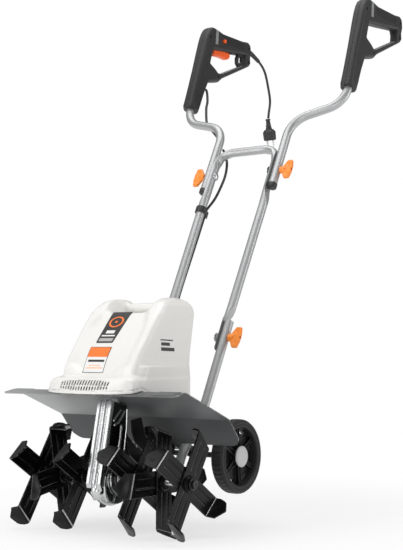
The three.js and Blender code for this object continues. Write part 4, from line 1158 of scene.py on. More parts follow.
# stations across the pad near the front edge and back from the rear edge
FRONT_STATIONS = [0, 0.5, 1.2, 2.2, 3.6, 5.5, 6.5, 7.5, 9.5, 12, 15, 18, 21, 24, 27, 30, 33,
                  35.5, 36.5, 37.5]
REAR_STATIONS = [24, 19, 15, 11.6, 8.6, 6.0, 3.9, 2.2, 1.0, 0.0]


def shield_half_width(station, length):
    half = SHIELD_HALF
    for radius, reach in ((FRONT_CORNER, station), (REAR_CORNER, length - station)):
        if reach < radius:
            half -= radius - sqrt(max(0, radius * radius - (radius - reach) ** 2))
    return half


def pad_height(x, station):
    """The pressed flat pad on each side of the front strip, with sloped walls."""
    outside = max(165.0 - abs(x), abs(x) - 215.0, 7.5 - station, station - 35.5)
    return 1.5 * float(np.clip(1 - outside / 2.0, 0, 1))


def shield_columns():
    """Shares of the half width, closer at the edges and snapped to the pads' walls."""
    shares = np.linspace(-1, 1, 151)
    shares = np.sign(shares) * (1 - (1 - np.abs(shares)) ** 1.18)
    for wall_x in (163.0, 164.0, 165.0, 215.0, 216.0, 217.0):
        for side in (-1, 1):
            share = side * wall_x / SHIELD_HALF
            shares[int(np.argmin(np.abs(shares - share)))] = share
    return np.unique(shares)


def shield():
    bends = [np.array([0, y, z], float) for y, z in SHIELD_YZ]
    curve = resample(rounded(bends, [14, 9], 8), 3.2)
    along = np.concatenate([[0], np.cumsum(np.linalg.norm(np.diff(curve, axis=0), axis=1))])
    length = along[-1]
    stations = np.unique(np.concatenate([
        FRONT_STATIONS, along[(along > 39) & (along < length - 24)],
        length - np.array(REAR_STATIONS)]))
    mid_y, mid_z = np.interp(stations, along, curve[:, 1]), np.interp(stations, along, curve[:, 2])
    slope_y, slope_z = np.gradient(mid_y, stations), np.gradient(mid_z, stations)
    scale = np.hypot(slope_y, slope_z)
    normal_y, normal_z = -slope_z / scale, slope_y / scale
    columns = shield_columns()
    points = []
    for base, ease in ((0.0, -0.35), (-SHIELD_THICK, 0.35)):
        for r, station in enumerate(stations):
            half = shield_half_width(station, length)
            for share in columns:
                x = share * half
                edge = min(SHIELD_HALF - abs(x), station, length - station)
                lift = base + pad_height(x, station) + ease * max(0.0, 1 - edge / 0.6)
                points.append((x, mid_y[r] + normal_y[r] * lift, mid_z[r] + normal_z[r] * lift))
    points = np.array(points)
    faces = slab_faces(len(stations), len(columns))
    # front faces take the lighter copy of the deck steel (painted light); the rear flap takes the
    # darker copy (painted shade)
    front = [float(np.mean(points[list(face), 1])) < LIT_COPY_END_Y for face in faces]
    put("shield_sheet", (points, faces), ("deck", "deck_painted_light_front"), "chassis", "deck_shield",
        sharp=32, face_materials=front)


shield()

# ------------------------------------------------------------------ tine stars, shaft and bolts
STRIP_WIDTH, STRIP_THICK = 48.0, 4.0
STRIP_REACH = 101.0 - 1.5           # from the shaft's axis to the bend, before the skew
BEND_RADIUS, BEND_ANGLE, BEND_SKEW = 5.0, radians(74.0), radians(16.0)
FLANGE_LENGTH = 34.0
GROOVES = (-0.42, 0.30)             # as shares of the strip's half width
STAR_X = (72, 132, 192)
STAR_PHASES = {"right": (57, 90, 57), "left": (57, 100, 57)}
SHAFT_HALF = 203
# stations from the shaft to one tip: flat blade (mm), bend and flange (shares)
FLAT_END = 96.5
STRIP_STATIONS = ([("flat", q) for q in (0, 14, 17, 20, 24, 34, 46, 58, 70, 80, 87, 91, 94,
                                         FLAT_END)]
                  + [("bend", k / 6) for k in range(1, 7)]
                  + [("flange", q) for q in (0.10, 0.22, 0.36, 0.52, 0.68, 0.82, 0.92, 0.98,
                                             1.0)])


def strip_place(kind, place, share, end):
    """Reach, bend depth, face normal and pressed depth of a point on one half of a strip."""
    blade = STRIP_REACH + tan(BEND_SKEW) * share * (STRIP_WIDTH / 2) * end - 4.0
    if kind == "flat":
        fade = min(1.0, max(0.0, (place - 20) / 8.0)) * min(1.0, max(0.0, (92 - place) / 8.0))
        pressed = 0.0
        for groove in GROOVES:
            pressed += 0.95 * fade * np.exp(-((share - groove) / 0.055) ** 2)
        return place / FLAT_END * blade, 0.0, (1.0, 0.0), pressed
    angle = BEND_ANGLE * place if kind == "bend" else BEND_ANGLE
    reach = blade + BEND_RADIUS * sin(angle)
    depth = BEND_RADIUS * (1 - cos(angle))
    pressed = 0.0
    if kind == "flange":
        # longest off centre, cut back towards both corners
        length = FLANGE_LENGTH * np.interp(share * end, [-0.95, -0.1, 0.8, 1.0],
                                           [0.55, 1.0, 0.72, 0.30])
        out = place * (length - 3.6)
        reach += out * cos(angle)
        depth += out * sin(angle)
        pressed = 1.1 * np.exp(-((place - 0.45) / 0.30) ** 2 - (share / 0.42) ** 2)
    return reach, depth, (cos(angle), -sin(angle)), pressed


def strip(x_start, phase):
    """A strip through the shaft, its ends bent to opposite sides, and its face materials, which
    paint highlights along the bends and along one groove's crest.
    """
    columns = np.unique(np.round(np.concatenate([
        np.linspace(-1, 1, 15),
        [groove + d for groove in GROOVES for d in (-0.085, -0.045, 0.0, 0.045, 0.085)],
        [-0.985, 0.985]]), 4))
    rows = [(-1, *s) for s in STRIP_STATIONS[:0:-1]] + [(1, *s) for s in STRIP_STATIONS]
    layers = ([], [])
    for r, (end, kind, place) in enumerate(rows):
        for share in columns:
            reach, depth, normal, pressed = strip_place(kind, place, share, end)
            at_edge = abs(share) > 0.999 or r in (0, len(rows) - 1)
            half = STRIP_THICK / 2 - (0.55 if at_edge else 0.0)
            for layer, face in zip(layers, (half, -half)):
                lift = face - pressed
                layer.append((x_start + STRIP_THICK / 2 - end * depth + normal[0] * lift,
                              end * (reach - end * normal[1] * lift),
                              share * STRIP_WIDTH / 2))
    faces = slab_faces(len(rows), len(columns), rim_start=1)
    marks = []
    for _, kind, place in rows[:-1]:
        for share in (columns[:-1] + columns[1:]) / 2:
            mark = 0
            if kind == "bend" and 0.15 < place < 0.45:
                # painted highlight along the bend
                mark = 1
            elif kind == "flat" and 24 <= place < 87 and abs(share - 0.365) < 0.02:
                # painted highlight along the groove's crest
                mark = 2
            marks += [mark, mark]
    marks += [0] * (len(faces) - len(marks))
    return turned((np.array(layers[0] + layers[1]), faces), turn_x(radians(phase))), marks


def ring_weld(x, seed):
    """An uneven bead round the hub."""
    rings = []
    for k, angle in enumerate(np.linspace(0, 2 * pi, 61)[:-1]):
        radius = 1.5 + 0.25 * sin(k * 2.1) + 0.15 * sin(k * 5.3 + seed)
        outwards = np.array([0, cos(angle), sin(angle)])
        centre = np.array([x, 0, 0]) + 15.2 * outwards
        rings.append([centre + radius * (cos(t) * outwards + sin(t) * np.array([1.0, 0, 0]))
                      for t in np.linspace(0, 2 * pi, 9)[:-1]])
    return skin(rings, closed=True)


def tine_stars():
    hub = spun([(8.8, -22), (13.4, -22), (15, -20.8), (15, -6.2), (16.6, -5.2), (16.6, -4.0),
                (15.2, -3.0), (15.2, 3.2), (17.4, 4.2), (17.4, 5.2), (15, 6.2), (15, 8.0),
                (13.6, 9), (8.8, 9)], 0.5, 2, 36)
    for tag, side in SIDES:
        for i, (x, phase) in enumerate(zip(STAR_X, STAR_PHASES[tag])):
            first, first_marks = strip(-STRIP_THICK, phase + 90)
            second, second_marks = strip(-0.5, phase)
            star = merge(first, second, hub, ring_weld(-4.6, i), ring_weld(4.1, i))
            marks = first_marks + second_marks
            marks += [0] * (len(star[1]) - len(marks))
            put(f"tine_star_{tag}_{i + 1}_form", handed(moved(star, (x, 0, 0)), side),
                ("black", "black_bend_highlight", "black_crest_highlight"), "tine_rotor",
                f"tine_star_{tag}_{i + 1}", sharp=38, face_materials=marks)


def shaft():
    put("tine_shaft_bar", rod(8, SHAFT_HALF, 6.6, 62), "steel", "tine_rotor", "tine_shaft",
        sharp=30)
    washer = spun([(3.5, 0.3), (12.0, 0.3), (12.5, 0.8), (12.5, 2.0), (12.0, 2.5), (3.5, 2.5)],
                  0.25, 1, 40)
    # hexagonal head: x and largest radius of each ring
    rings = []
    for x, radius in ((2.4, 8.7), (2.9, 9.0), (6.4, 9.0), (7.4, 8.6), (8.0, 7.9), (8.0, 5.2),
                      (7.5, 4.9)):
        ring = []
        for k in range(72):
            angle = 2 * pi * k / 72
            flat = 9.0 * cos(pi / 6) / cos((angle % (pi / 3)) - pi / 6)
            reach = min(radius, flat)
            ring.append((x, reach * cos(angle), reach * sin(angle)))
        rings.append(ring)
    bolt = moved(merge(washer, skin(rings)), (SHAFT_HALF + 0.1, 0, 0))
    for tag, side in SIDES:
        put("shaft_bolt_head_" + tag, handed(bolt, side), "bolt_dark", "tine_rotor",
            "shaft_bolt_" + tag, sharp=28)


tine_stars()
shaft()

# ------------------------------------------------------------------ gear leg and shaft seals
WORM_TILT = radians(13.8)
WORM_FOOT = (-37.87, 9.30)          # (y, z) of a point on the worm's axis


def bowl_arc(radius):
    return [(radius * cos(radians(a)), radius * sin(radians(a))) for a in np.linspace(203, 365, 20)]


# (y, z) outlines and lines
LEG_BODY = [(-19, 162), (-54.5, -8), (-52.5, -20), *bowl_arc(51.5), (45, 30), (34, 58),
            (30, 100), (29, 142), (29, 162)]
LEG_RIB = [(-23.5, 163), (-60.5, -6), (-57.5, -15.5), (-49, -12), (-13, 163)]
LEG_SEAM = [(-17, 160), (-58.5, -8), (-55.5, -22), *bowl_arc(55.6), (49.5, 31), (38.6, 59),
            (33.6, 100), (32.6, 142)]
LEG_LUG = [(1, 50), (19, 49), (-4, 23), (-21, 24)]
LEG_BEAD = [(10, 106), (7.5, 84), (0.5, 56), (-15, 38), (-31, 24), (-39, 8), (-43, -12),
            (-40.5, -28), (-35, -40)]
# raised lines on the side face: line, x of its centre, radius, blend
LEG_LINES = (
    (LEG_BEAD, 16.0, 3.4, 1.6),
    ([(8, 139), (-4, 129), (-14.5, 119)], 17.0, 1.9, 1.2),
    ([(20, 136), (11, 124), (1, 115), (-12.5, 110)], 17.0, 2.3, 1.2),
    ([(28.5, 140), (27, 100), (24, 84), (19, 52)], 17.0, 1.7, 1.2),
)


def leg_field(x, y, z):
    """The right half of the leg."""
    leg = overlap(outline(y, z, LEG_BODY), x - 16.4 - 0.5 * np.clip((z - 60) / 90, 0, 1), 3.0)
    rib = outline(y, z, LEG_RIB)
    leg = join(leg, overlap(rib, band(x, 14.6, 4.3), 2.2), 2.0)
    leg = join(leg, overlap(rib, x - 3.6, 2.0), 2.0)
    leg = join(leg, overlap(outline(y, z, LEG_SEAM), x - 3.4, 1.0), 1.2)
    for line, depth, radius, blend in LEG_LINES:
        leg = join(leg, disc(polyline(y, z, line), x - depth, radius), blend)
    lug = band(outline(y, z, LEG_LUG), -1.4, 1.0)
    leg = join(leg, overlap(lug, x - 19.5, 0.6), 1.0)
    # bowl round the shaft, with its rim and boss
    radius = np.sqrt(y * y + z * z)
    leg = join(leg, overlap(radius - 33.0, x - 23.8, 2.0), 3.0)
    leg = join(leg, overlap(band(radius, 30.0, 1.6), x - 24.6, 0.8), 0.8)
    leg = join(leg, overlap(radius - 20.0, x - 32.8, 1.5), 2.0)
    # radial stiffeners round the bowl
    for degrees in (250, 292, 334):
        c, s = cos(radians(degrees)), sin(radians(degrees))
        out, aside = y * c + z * s, -y * s + z * c
        fin = overlap(band(aside, 0, 1.2), x - 21.5 + 0.12 * (out - 30), 0.8)
        leg = join(leg, overlap(fin, overlap(25.0 - out, out - 48.0, 1.0), 1.0), 1.5)
    foot_y, foot_z = WORM_FOOT
    along = (y - foot_y) * sin(WORM_TILT) + (z - foot_z) * cos(WORM_TILT)
    aside = (y - foot_y) * cos(WORM_TILT) - (z - foot_z) * sin(WORM_TILT)
    leg = overlap(leg, along - 150.1, 0.4)
    # closed nose round the lower end of the worm
    leg = join(leg, capsule(x, y, z, (0, -45.4, -22.0), (0, -37.87, 9.3), 15.6), 3.0)
    # hollows for the worm wheel, shaft, seal and worm
    leg = cut(leg, overlap(radius - 35.9, x - 11.0, 0.3), 0.3)
    leg = overlap(leg, 8.7 - radius, 0.3)
    leg = cut(leg, overlap(radius - 14.4, 27.0 - x, 0.3), 0.3)
    leg = cut(leg, overlap(disc(x, aside, 12.5), -35.9 - along, 0.3), 0.3)
    return overlap(leg, 0.18 - x, 0.1)


def gear_leg():
    leg = solid(leg_field, (-3, -66, -62), (37, 60, 166), 0.85)
    points, quads, normals = leg
    x, y, z = points[quads].mean(1).T
    facing = normals[quads].mean(1)[:, 0]
    to_bead = np.minimum(polyline(y, z, LEG_BEAD), 99)
    # the flat side face and the bowl take dark copies of the aluminium (painted shade), and their
    # light raised edges are painted highlights
    flat = (facing > 0.86) & (x > 14.5) & (x < 18.2) & (to_bead > 2.2)
    bowl = (np.hypot(y, z) < 60) & (y > -30) & (x > 4) & (x < 30) & ~flat & (to_bead > 3.4)
    marks = np.where(flat, 1, np.where(bowl, 2, 0))
    for tag, side in SIDES:
        put("gear_leg_" + tag, handed(leg, side), ("cast", "cast_painted_shade_side", "cast_painted_shade_bowl"), "chassis",
            "gearcase_" + tag, face_materials=marks)


def shaft_seals():
    seal = spun([(8.6, 0), (13.4, 0), (13.4, 4.6), (12.2, 5.2), (11.6, 4.6), (10.6, 6.8),
                 (9.6, 6.8), (9.2, 5.6), (8.6, 5.4)], 0.3, 2, 48)
    for tag, side in SIDES:
        put("shaft_lip_seal_" + tag, handed(moved(seal, (27.4, 0, 0)), side), "seal", "chassis",
            "shaft_seal_" + tag, sharp=30)


gear_leg()
shaft_seals()

# ------------------------------------------------------------------ black bracket behind the leg
BAR_HALF_LENGTH, BAR_WALL = 57.2, 2.0
BAR_Y, BAR_Z = (132, 152), (14, 34)
WEB_YZ = [(33, 118), (36, 92), (48, 70), (122, 14), (152, 14), (152, 34), (134, 34), (80, 82),
          (66, 122)]
EAR_YZ = [(134, 30), (152, 16), (168, 56), (172, 62), (172, 78), (152, 78), (149, 64), (143, 52)]


def square_bar():
    """A square tube lying across the machine, corners rounded, ends open."""
    def section(x, inset, radius):
        ring = []
        reach = inset + radius
        for y, z, start in ((BAR_Y[1] - reach, BAR_Z[1] - reach, 0),
                            (BAR_Y[0] + reach, BAR_Z[1] - reach, 90),
                            (BAR_Y[0] + reach, BAR_Z[0] + reach, 180),
                            (BAR_Y[1] - reach, BAR_Z[0] + reach, 270)):
            for k in range(6):
                t = radians(start + 90 * k / 5)
                ring.append((x, y + radius * cos(t), z + radius * sin(t)))
        return ring

    end, shoulder = BAR_HALF_LENGTH, BAR_HALF_LENGTH - 0.4
    stack = ((-end, 0.35, 2.3), (-shoulder, 0, 2.6), (shoulder, 0, 2.6), (end, 0.35, 2.3),
             (end, BAR_WALL, 1.0), (-end, BAR_WALL, 1.0))
    return skin([section(*row) for row in stack], closed=True)


def weld_line(start, end, radius, seed):
    """A rippled fillet bead."""
    start, end = np.array(start, float), np.array(end, float)
    count = max(6, int(np.linalg.norm(end - start) / 0.9))
    path = np.array([start + (end - start) * k / count for k in range(count + 1)])

    def section(i):
        taper = min(1.0, (min(i, count - i) + 0.35) / 2.0)
        return circle(radius * taper * (1 + 0.14 * sin(i * 1.9 + seed)), 10)
    return sweep(path, (0.3, 0.5, 0.8), section)


def leg_bracket():
    half = [prism(round_poly(WEB_YZ, 2.5), 22.0, 26.0, 0.6),
            prism(round_poly(EAR_YZ, 3.0), 36.0, 40.0, 0.6),
            weld_line((26.4, 133, 33.5), (26.4, 150, 33.5), 1.4, 1.0),
            weld_line((26.4, 131.6, 15), (26.4, 131.6, 33), 1.3, 2.0),
            weld_line((40.5, 136, 34.2), (40.5, 151, 34.2), 1.3, 0.4),
            weld_line((35.6, 136, 34.2), (35.6, 151, 34.2), 1.3, 0.7)]
    parts = half + [mirrored(part) for part in half] + [square_bar()]
    put("leg_bracket", merge(*parts), "bracket", "chassis", "rear_bracket",
        sharp=32)


leg_bracket()

# ------------------------------------------------------------------ swinging bracket and wheels
PIVOT_YZ, AXLE_YZ = (160, 70), (230, 36)
# (radius, x) outline of the tyre's section
TYRE_SECTION = [(58.2, 3.0), (60.0, 0.3), (75.6, 0.3), (78.6, 4.0), (78.9, 9.0), (79.0, 14.5),
                (78.9, 20.0), (78.6, 24.6), (75.8, 28.7), (70.5, 28.9), (69.8, 27.9),
                (67.6, 27.9), (66.9, 28.9), (63.4, 28.9), (61.2, 26.4), (59.4, 17.0),
                (58.4, 12.5)]
TREAD_BARS = 44
HUB_CAP = [(0, 0.4), (19.0, 0.4), (21.6, -1.6), (22.4, -1.4), (22.5, 0.8), (21.0, 2.2),
           (18.2, 3.4), (12.0, 3.9), (0, 4.2)]


def link_outline(start, start_radius, end, end_radius, steps=16):
    """Outline of a flat link with two round ends."""
    way = np.array(end, float) - np.array(start, float)
    heading = np.arctan2(way[1], way[0])
    spread = acos((start_radius - end_radius) / np.linalg.norm(way))
    out = []
    for k in range(steps + 1):
        t = heading + spread + (2 * pi - 2 * spread) * k / steps
        out.append((start[0] + start_radius * cos(t), start[1] + start_radius * sin(t)))
    for k in range(steps + 1):
        t = heading - spread + 2 * spread * k / steps
        out.append((end[0] + end_radius * cos(t), end[1] + end_radius * sin(t)))
    return out


def swing_bracket():
    """Two links joined by a flat strap, and the axle."""
    link = prism(link_outline(PIVOT_YZ, 12, AXLE_YZ, 13), 43.0, 47.0, 0.6)
    pivot, axle = np.array(PIVOT_YZ), np.array(AXLE_YZ)
    middle = pivot * 0.44 + axle * 0.56
    along = unit(axle - pivot)
    aside = np.array([-along[1], along[0]])
    strap = [tuple(middle + along * a + aside * b) for a, b in ((-8, -2), (8, -2), (8, 2), (-8, 2))]
    parts = [link, mirrored(link), prism(round_poly(strap, 1.2, 3), -45.0, 45.0, 0.5)]
    for side in (1, -1):
        for offset in (2.6, -2.6):
            centre = middle + aside * offset
            parts.append(weld_line((side * 42.6, *(centre - along * 7)),
                                   (side * 42.6, *(centre + along * 7)), 1.2, offset))
    put("wheel_swing_bracket", merge(*parts), "bracket", "wheel_carrier", "wheel_bracket",
        sharp=32)
    put("wheel_axle_rod", moved(rod(6, 168, 4.8, 52), (0, *AXLE_YZ)), "bracket",
        "wheel_carrier", "wheel_axle", sharp=30)


def tyre():
    section = soft(TYRE_SECTION, 1.1, 3)
    rings = []
    for k in range(360):
        angle = 2 * pi * k / 360
        ring = []
        for radius, x in section:
            if radius > 77.2:
                # gap between the slightly chevroned cross bars of the tread
                phase = (angle * TREAD_BARS / (2 * pi) + 0.03 * abs(x - 14.5)) % 1.0
                radius = radius - 1.15 * min(1.0, max(0.0, (abs(phase - 0.5) - 0.36) / 0.05))
            ring.append((x, radius * cos(angle), radius * sin(angle)))
        rings.append(np.array(ring))
    return skin(rings, closed=True)


def wheel_disc_field(x, y, z):
    radius = np.sqrt(y * y + z * z)
    wheel = overlap(band(x, 10.6, 2.5), radius - 59.6, 0.4)
    angle = np.arctan2(z, y)
    sixth = pi / 3
    # six hollow ribs from the hub to the rim
    rib_angle = np.mod(angle + sixth / 2 + 0.46, sixth) - sixth / 2
    aside, out = radius * np.sin(rib_angle), radius * np.cos(rib_angle)
    taper = 0.05 * (out - 20)
    rib = overlap(band(aside, 0, 6.4) + taper, band(x, 15.0, 6.8), 1.6)
    rib = overlap(rib, overlap(12.0 - out, out - 59.6, 0.5), 0.5)
    rib = cut(rib, overlap(band(aside, 0, 3.6) + taper, 18.5 - x, 1.0), 1.0)
    wheel = join(wheel, rib, 2.0)
    # long slots beside the rim, between the ribs
    slot_angle = np.mod(angle + 0.46, sixth) - sixth / 2
    slot = overlap(band(radius, 53.6, 3.1), band(radius * np.sin(slot_angle), 0, 12.5), 1.2)
    wheel = cut(wheel, slot, 0.8)
    # hub
    wheel = join(wheel, overlap(radius - 19.2, band(x, 13.4, 13.0), 1.0), 2.0)
    return overlap(wheel, 6.5 - radius, 0.3)


def wheels():
    at_wheel = (141.0, *AXLE_YZ)
    tread = moved(tyre(), at_wheel)
    wheel_disc = moved(solid(wheel_disc_field, (-3, -62, -62), (30, 62, 62), 0.95), at_wheel)
    hub_cap = moved(spun(HUB_CAP, 0.5, 3, 72), (168.5, *AXLE_YZ))
    for tag, side in SIDES:
        body = f"wheel_{tag}_body"
        put("wheel_tyre_" + tag, handed(tread, side), "wheel", body, "wheel_" + tag,
            sharp=34)
        put("wheel_disc_" + tag, handed(wheel_disc, side), "wheel_disc", body, "wheel_" + tag)
        put("hub_cap_" + tag, handed(hub_cap, side), "cap", body, "hubcap_" + tag,
            sharp=30)


swing_bracket()
wheels()

# ------------------------------------------------------------------ D grips, trigger, lock button
# (y, z) outlines
GRIP_OUTLINE = [(586, 896), (668, 1112), (675, 1124), (690, 1129), (712, 1127), (745, 1121),
                (840, 1121), (868, 1124), (880, 1118), (884, 1064), (876, 1056), (744, 998),
                (722, 984), (695, 979), (670, 973), (650, 938), (622, 882)]
GRIP_HOLE = [(692, 1066), (680, 1028), (722, 1009), (744, 1013), (850, 1056), (854, 1084),
             (770, 1074)]
HOOK = [(858, 1086), (857, 1057), (832, 1047.5), (822, 1055), (821, 1070), (829, 1084)]
HOOK_HOLE = [(846, 1079), (846, 1063.5), (833, 1056.5), (829, 1060), (829, 1069), (835, 1079)]
TRIGGER = [(703, 1076.8), (703, 1060), (710, 1054.6), (738, 1056.2), (768, 1055), (778, 1060),
           (781.8, 1067), (780, 1074.8)]
SCREWS = ((676.0, 1098.0), (866.0, 1104.0), (716.0, 997.0), (868.0, 1066.0))
POST_FOOT = (604.0, 889.0)
POST_WAY = unit(np.array([686.0 - POST_FOOT[0], 1106.0 - POST_FOOT[1]]))
LOCK_YZ = (740.0, 1098.0)


def grip_field(x, y, z, left, inner):
    """Half a grip; x runs away from the parting plane."""
    along = (y - POST_FOOT[0]) * POST_WAY[0] + (z - POST_FOOT[1]) * POST_WAY[1]
    aside = -(y - POST_FOOT[0]) * POST_WAY[1] + (z - POST_FOOT[1]) * POST_WAY[0]
    edge = outline(y, z, GRIP_OUTLINE)
    side = cut(edge, outline(y, z, GRIP_HOLE), 4.0)
    # slanted cuts across the two upper corners
    side = overlap(side, ((z - 1124.0) - (y - 676.0)) / 1.41421 + 1.5, 13.0)
    side = overlap(side, ((z - 1124.0) + (y - 876.0)) / 1.41421 + 1.0, 8.0)
    # half thickness: post, swelling at the foot, thinner lower bar
    bar = np.clip((y - 700) / 40, 0, 1)
    half = (15.4 + 1.4 * np.clip((z - 1000) / 60, 0, 1) * (1 - bar)
            + 0.6 * np.exp(-((z - 905) / 18) ** 2))
    low = np.clip((1046 + (y - 744) * 0.36 - z) / 14, 0, 1) * bar
    half = half - 3.6 * low
    round_radius = 9.5
    grip = round_edge(side + round_radius, x - (half - round_radius), round_radius)
    # collar at the foot and a flute down the post
    foot = overlap(disc(aside, x, 19.0), band(along, 7.0, 7.5), 2.0)
    foot = overlap(foot, -100 - along, 1.0)
    grip = join(grip, overlap(foot, edge - 0.2, 1.0), 3.0)
    grip = scored(grip, overlap(band(aside, -4.0, 0.8), band(along, 95.0, 78.0), 1.0), 0.8)
    # shut lines beside the joint of post and bar
    for line_y in (699.0, 713.0):
        line = np.abs(y - line_y - (z - 1100) * 0.10) - 0.55
        grip = scored(grip, overlap(line, 1083.0 - z, 0.5), 1.0)
    # outline of the insert on top of the bar
    insert = np.abs(round_box(y - 785.0, z - 1112.0, 54.0, 20.0, 8.0)) - 0.5
    grip = scored(grip, insert, 0.7)
    for screw_y, screw_z in SCREWS:
        recess = disc(y - screw_y, z - screw_z, 3.6)
        grip = cut(grip, overlap(recess, (half - 3.2) - x, 0.4), 0.6)
    if left:
        hook = cut(outline(y, z, HOOK), outline(y, z, HOOK_HOLE), 1.5)
        grip = join(grip, overlap(hook, x - 4.8, 1.2), 1.5)
        # room for the trigger
        pocket = overlap(band(y, 746.0, 46.0), band(z, 1087.0, 25.0), 0.4)
        grip = cut(grip, overlap(pocket, x - 9.0, 0.4), 0.4)
        if inner:
            # hole for the lock button, with a collar
            reach = disc(y - LOCK_YZ[0], z - LOCK_YZ[1], 0.0)
            grip = cut(grip, overlap(reach - 5.7, 5.0 - x, 0.3), 0.5)
            collar = overlap(band(reach, 9.0, 1.6), 12.0 - x, 0.6)
            grip = join(grip, overlap(collar, x - 16.6, 1.0), 1.0)
        # blind hole behind the trigger
        grip = cut(grip, overlap(disc(y - 776.0, z - 1070.0, 4.1), x - 9.0, 0.3), 0.3)
    # bore for the tube
    grip = cut(grip, overlap(disc(aside, x, 10.9), band(along, 46.0, 76.0), 0.3), 0.4)
    return overlap(grip, 0.16 - x, 0.1)


def grip_half(left, inner):
    """The half's shape and its face materials: 1 for the insert, 2 for the trim."""
    shape = solid(lambda x, y, z: grip_field(x, y, z, left, inner),
                  (-2, 579, 874), (21, 891, 1136), 1.3, newton=2)
    points, quads, normals = shape
    x, y, z = points[quads].mean(1).T
    facing_up = normals[quads].mean(1)[:, 2] > 0.75
    insert = (np.abs(y - 785) < 53.5) & (z > 1092.5) & (np.abs(z - 1112) < 19.5)
    if left:
        insert &= ~((np.hypot(y - LOCK_YZ[0], z - LOCK_YZ[1]) < 11.5) & (x > 11))
    joint_y = y - (z - 1100) * 0.10
    trim = (joint_y > 699.2) & (joint_y < 712.8) & (z > 1083)
    lower_bar = (z < 1052 + (y - 744) * 0.36) & (y > 722) & facing_up & (y < 846)
    return shape, np.where(insert, 1, np.where(trim | lower_bar, 2, 0))


def grips():
    plain = grip_half(left=False, inner=False)
    left_outer = grip_half(left=True, inner=False)
    left_inner = grip_half(left=True, inner=True)
    for tag, face, side, way, (shape, marks) in (("right", "outer", 1, 1, plain),
                                                 ("right", "inner", 1, -1, plain),
                                                 ("left", "outer", -1, -1, left_outer),
                                                 ("left", "inner", -1, 1, left_inner)):
        put(f"grip_shell_{tag}_{face}", moved(handed(shape, way), (side * GRIP_X, 0, 0)),
            ("grip", "grip_insert", "grip_trim"), "handle_" + tag, f"grip_{tag}_{face}",
            face_materials=marks)


def trigger_field(x, y, z):
    radius = 3.2
    lever = round_edge(outline(y, z, TRIGGER) + radius, np.abs(x) - (7.9 - radius), radius)
    for k in range(5):
        lever = cut(lever, disc(y - 716.0 - 9.0 * k, z - 1054.6, 1.0), 0.8)
    return lever


def controls():
    """The trigger and the lock button of the left grip."""
    lever = solid(trigger_field, (-11, 698, 1050), (11, 786, 1081), 0.7)
    put("trigger_lever", moved(lever, (-GRIP_X, 0, 0)), "trigger", "trigger_body", "trigger")
    button = spun([(0, 0.1), (5.1, 0.1), (5.1, 4.5), (4.8, 4.9), (4.8, 5.4), (5.1, 5.8),
                   (5.1, 11.4), (4.2, 12.5), (2.6, 12.9), (1.9, 12.2), (0, 12.0)], 0.4, 3, 48)
    put("lock_button_cap", moved(button, (-(GRIP_X - 8.5), *LOCK_YZ)), "trigger",
        "lock_button_body", "lock_button", sharp=30)


grips()
controls()


# ------------------------------------------------------------------ cords, plug and clip
def behind_leg(x, z, extra=0):
    """A point beside the middle frame's leg, on its +Y side."""
    return x, plane_y(z) + 21 + extra, z


# (x, y, z) of the motor lead's three runs, top to bottom, and of the supply cord
UPPER_LEAD = [(-221, 659, 953), (-214.5, 655.5, 942), (-206, 645, 915), (-198, 628, 893),
              (-178, 601, 850), (-166, 596, 834), (-144, 586, 816), (-118, 572, 792),
              (-108, 565, 778)]
MIDDLE_LEAD = [(-99, 559, 766), (-86, 550, 750), (-72, 536, 724), (-66, 519, 692),
               (-68, 501, 660), (-76, 488, 632), behind_leg(-86, 611, 2), behind_leg(-88, 602),
               behind_leg(-88, 580), behind_leg(-88, 505), behind_leg(-88, 385),
               behind_leg(-80, 352, 2), (-63, 323, 323), (-56, 301, 301), (-55, 291, 294)]
LOWER_LEAD = [(-51, 278, 281), (-46, 250, 272), (-42, 190, 252), (-44, 134, 238)]
SUPPLY_CORD = [(-232, 889, 1102), (-231, 912, 1094), (-229, 945, 1078), (-226, 965, 1055),
               (-222, 976, 1012), (-219, 980, 975), (-216, 968, 938), (-215, 964, 924)]
PLUG_PLACE = np.array([-215, 967, 892])
# swaps X and Y, then tips the part so that its length hangs near the vertical
PLUG_TURN = turn_x(pi / 2 + 0.2) @ np.array([[0, 1, 0], [1, 0, 0], [0, 0, 1]])


def motor_lead(name, points, body):
    path = resample(catmull_rom(points, 10, straight_ends=True), 1.6)
    last = len(path) - 1

    def section(i):
        taper = min(1.0, 0.72 + 0.28 * min(i, last - i) / 1.5)
        return circle(3.2 * taper * (1 + 0.01 * sin(i * 1.3)), 16)
    put(f"lead_{name}_cord", sweep(path, (0.2, -0.9, 0.35), section), "cable", body,
        "motor_lead_" + name, sharp=45)


def supply_cord():
    """The cord, starting in a tapered sleeve with grooves."""
    path = resample(catmull_rom(SUPPLY_CORD, 10, straight_ends=True), 1.2)
    along = np.concatenate([[0], np.cumsum(np.linalg.norm(np.diff(path, axis=0), axis=1))])

    def section(i):
        reach = along[i]
        if reach >= 52:
            return circle(3.35, 20)
        radius = 7.0 - 1.9 * reach / 52
        if (reach % 6.5) < 1.8 and 5 < reach < 50:
            radius -= 0.9
        if reach > 50:
            radius = 4.6
        if reach < 1.2:
            radius -= 0.6
        return circle(radius, 20)
    put("supply_cord_run", sweep(path, (0.2, -0.9, 0.3), section), "cable", "handle_left",
        "supply_cord", sharp=38)


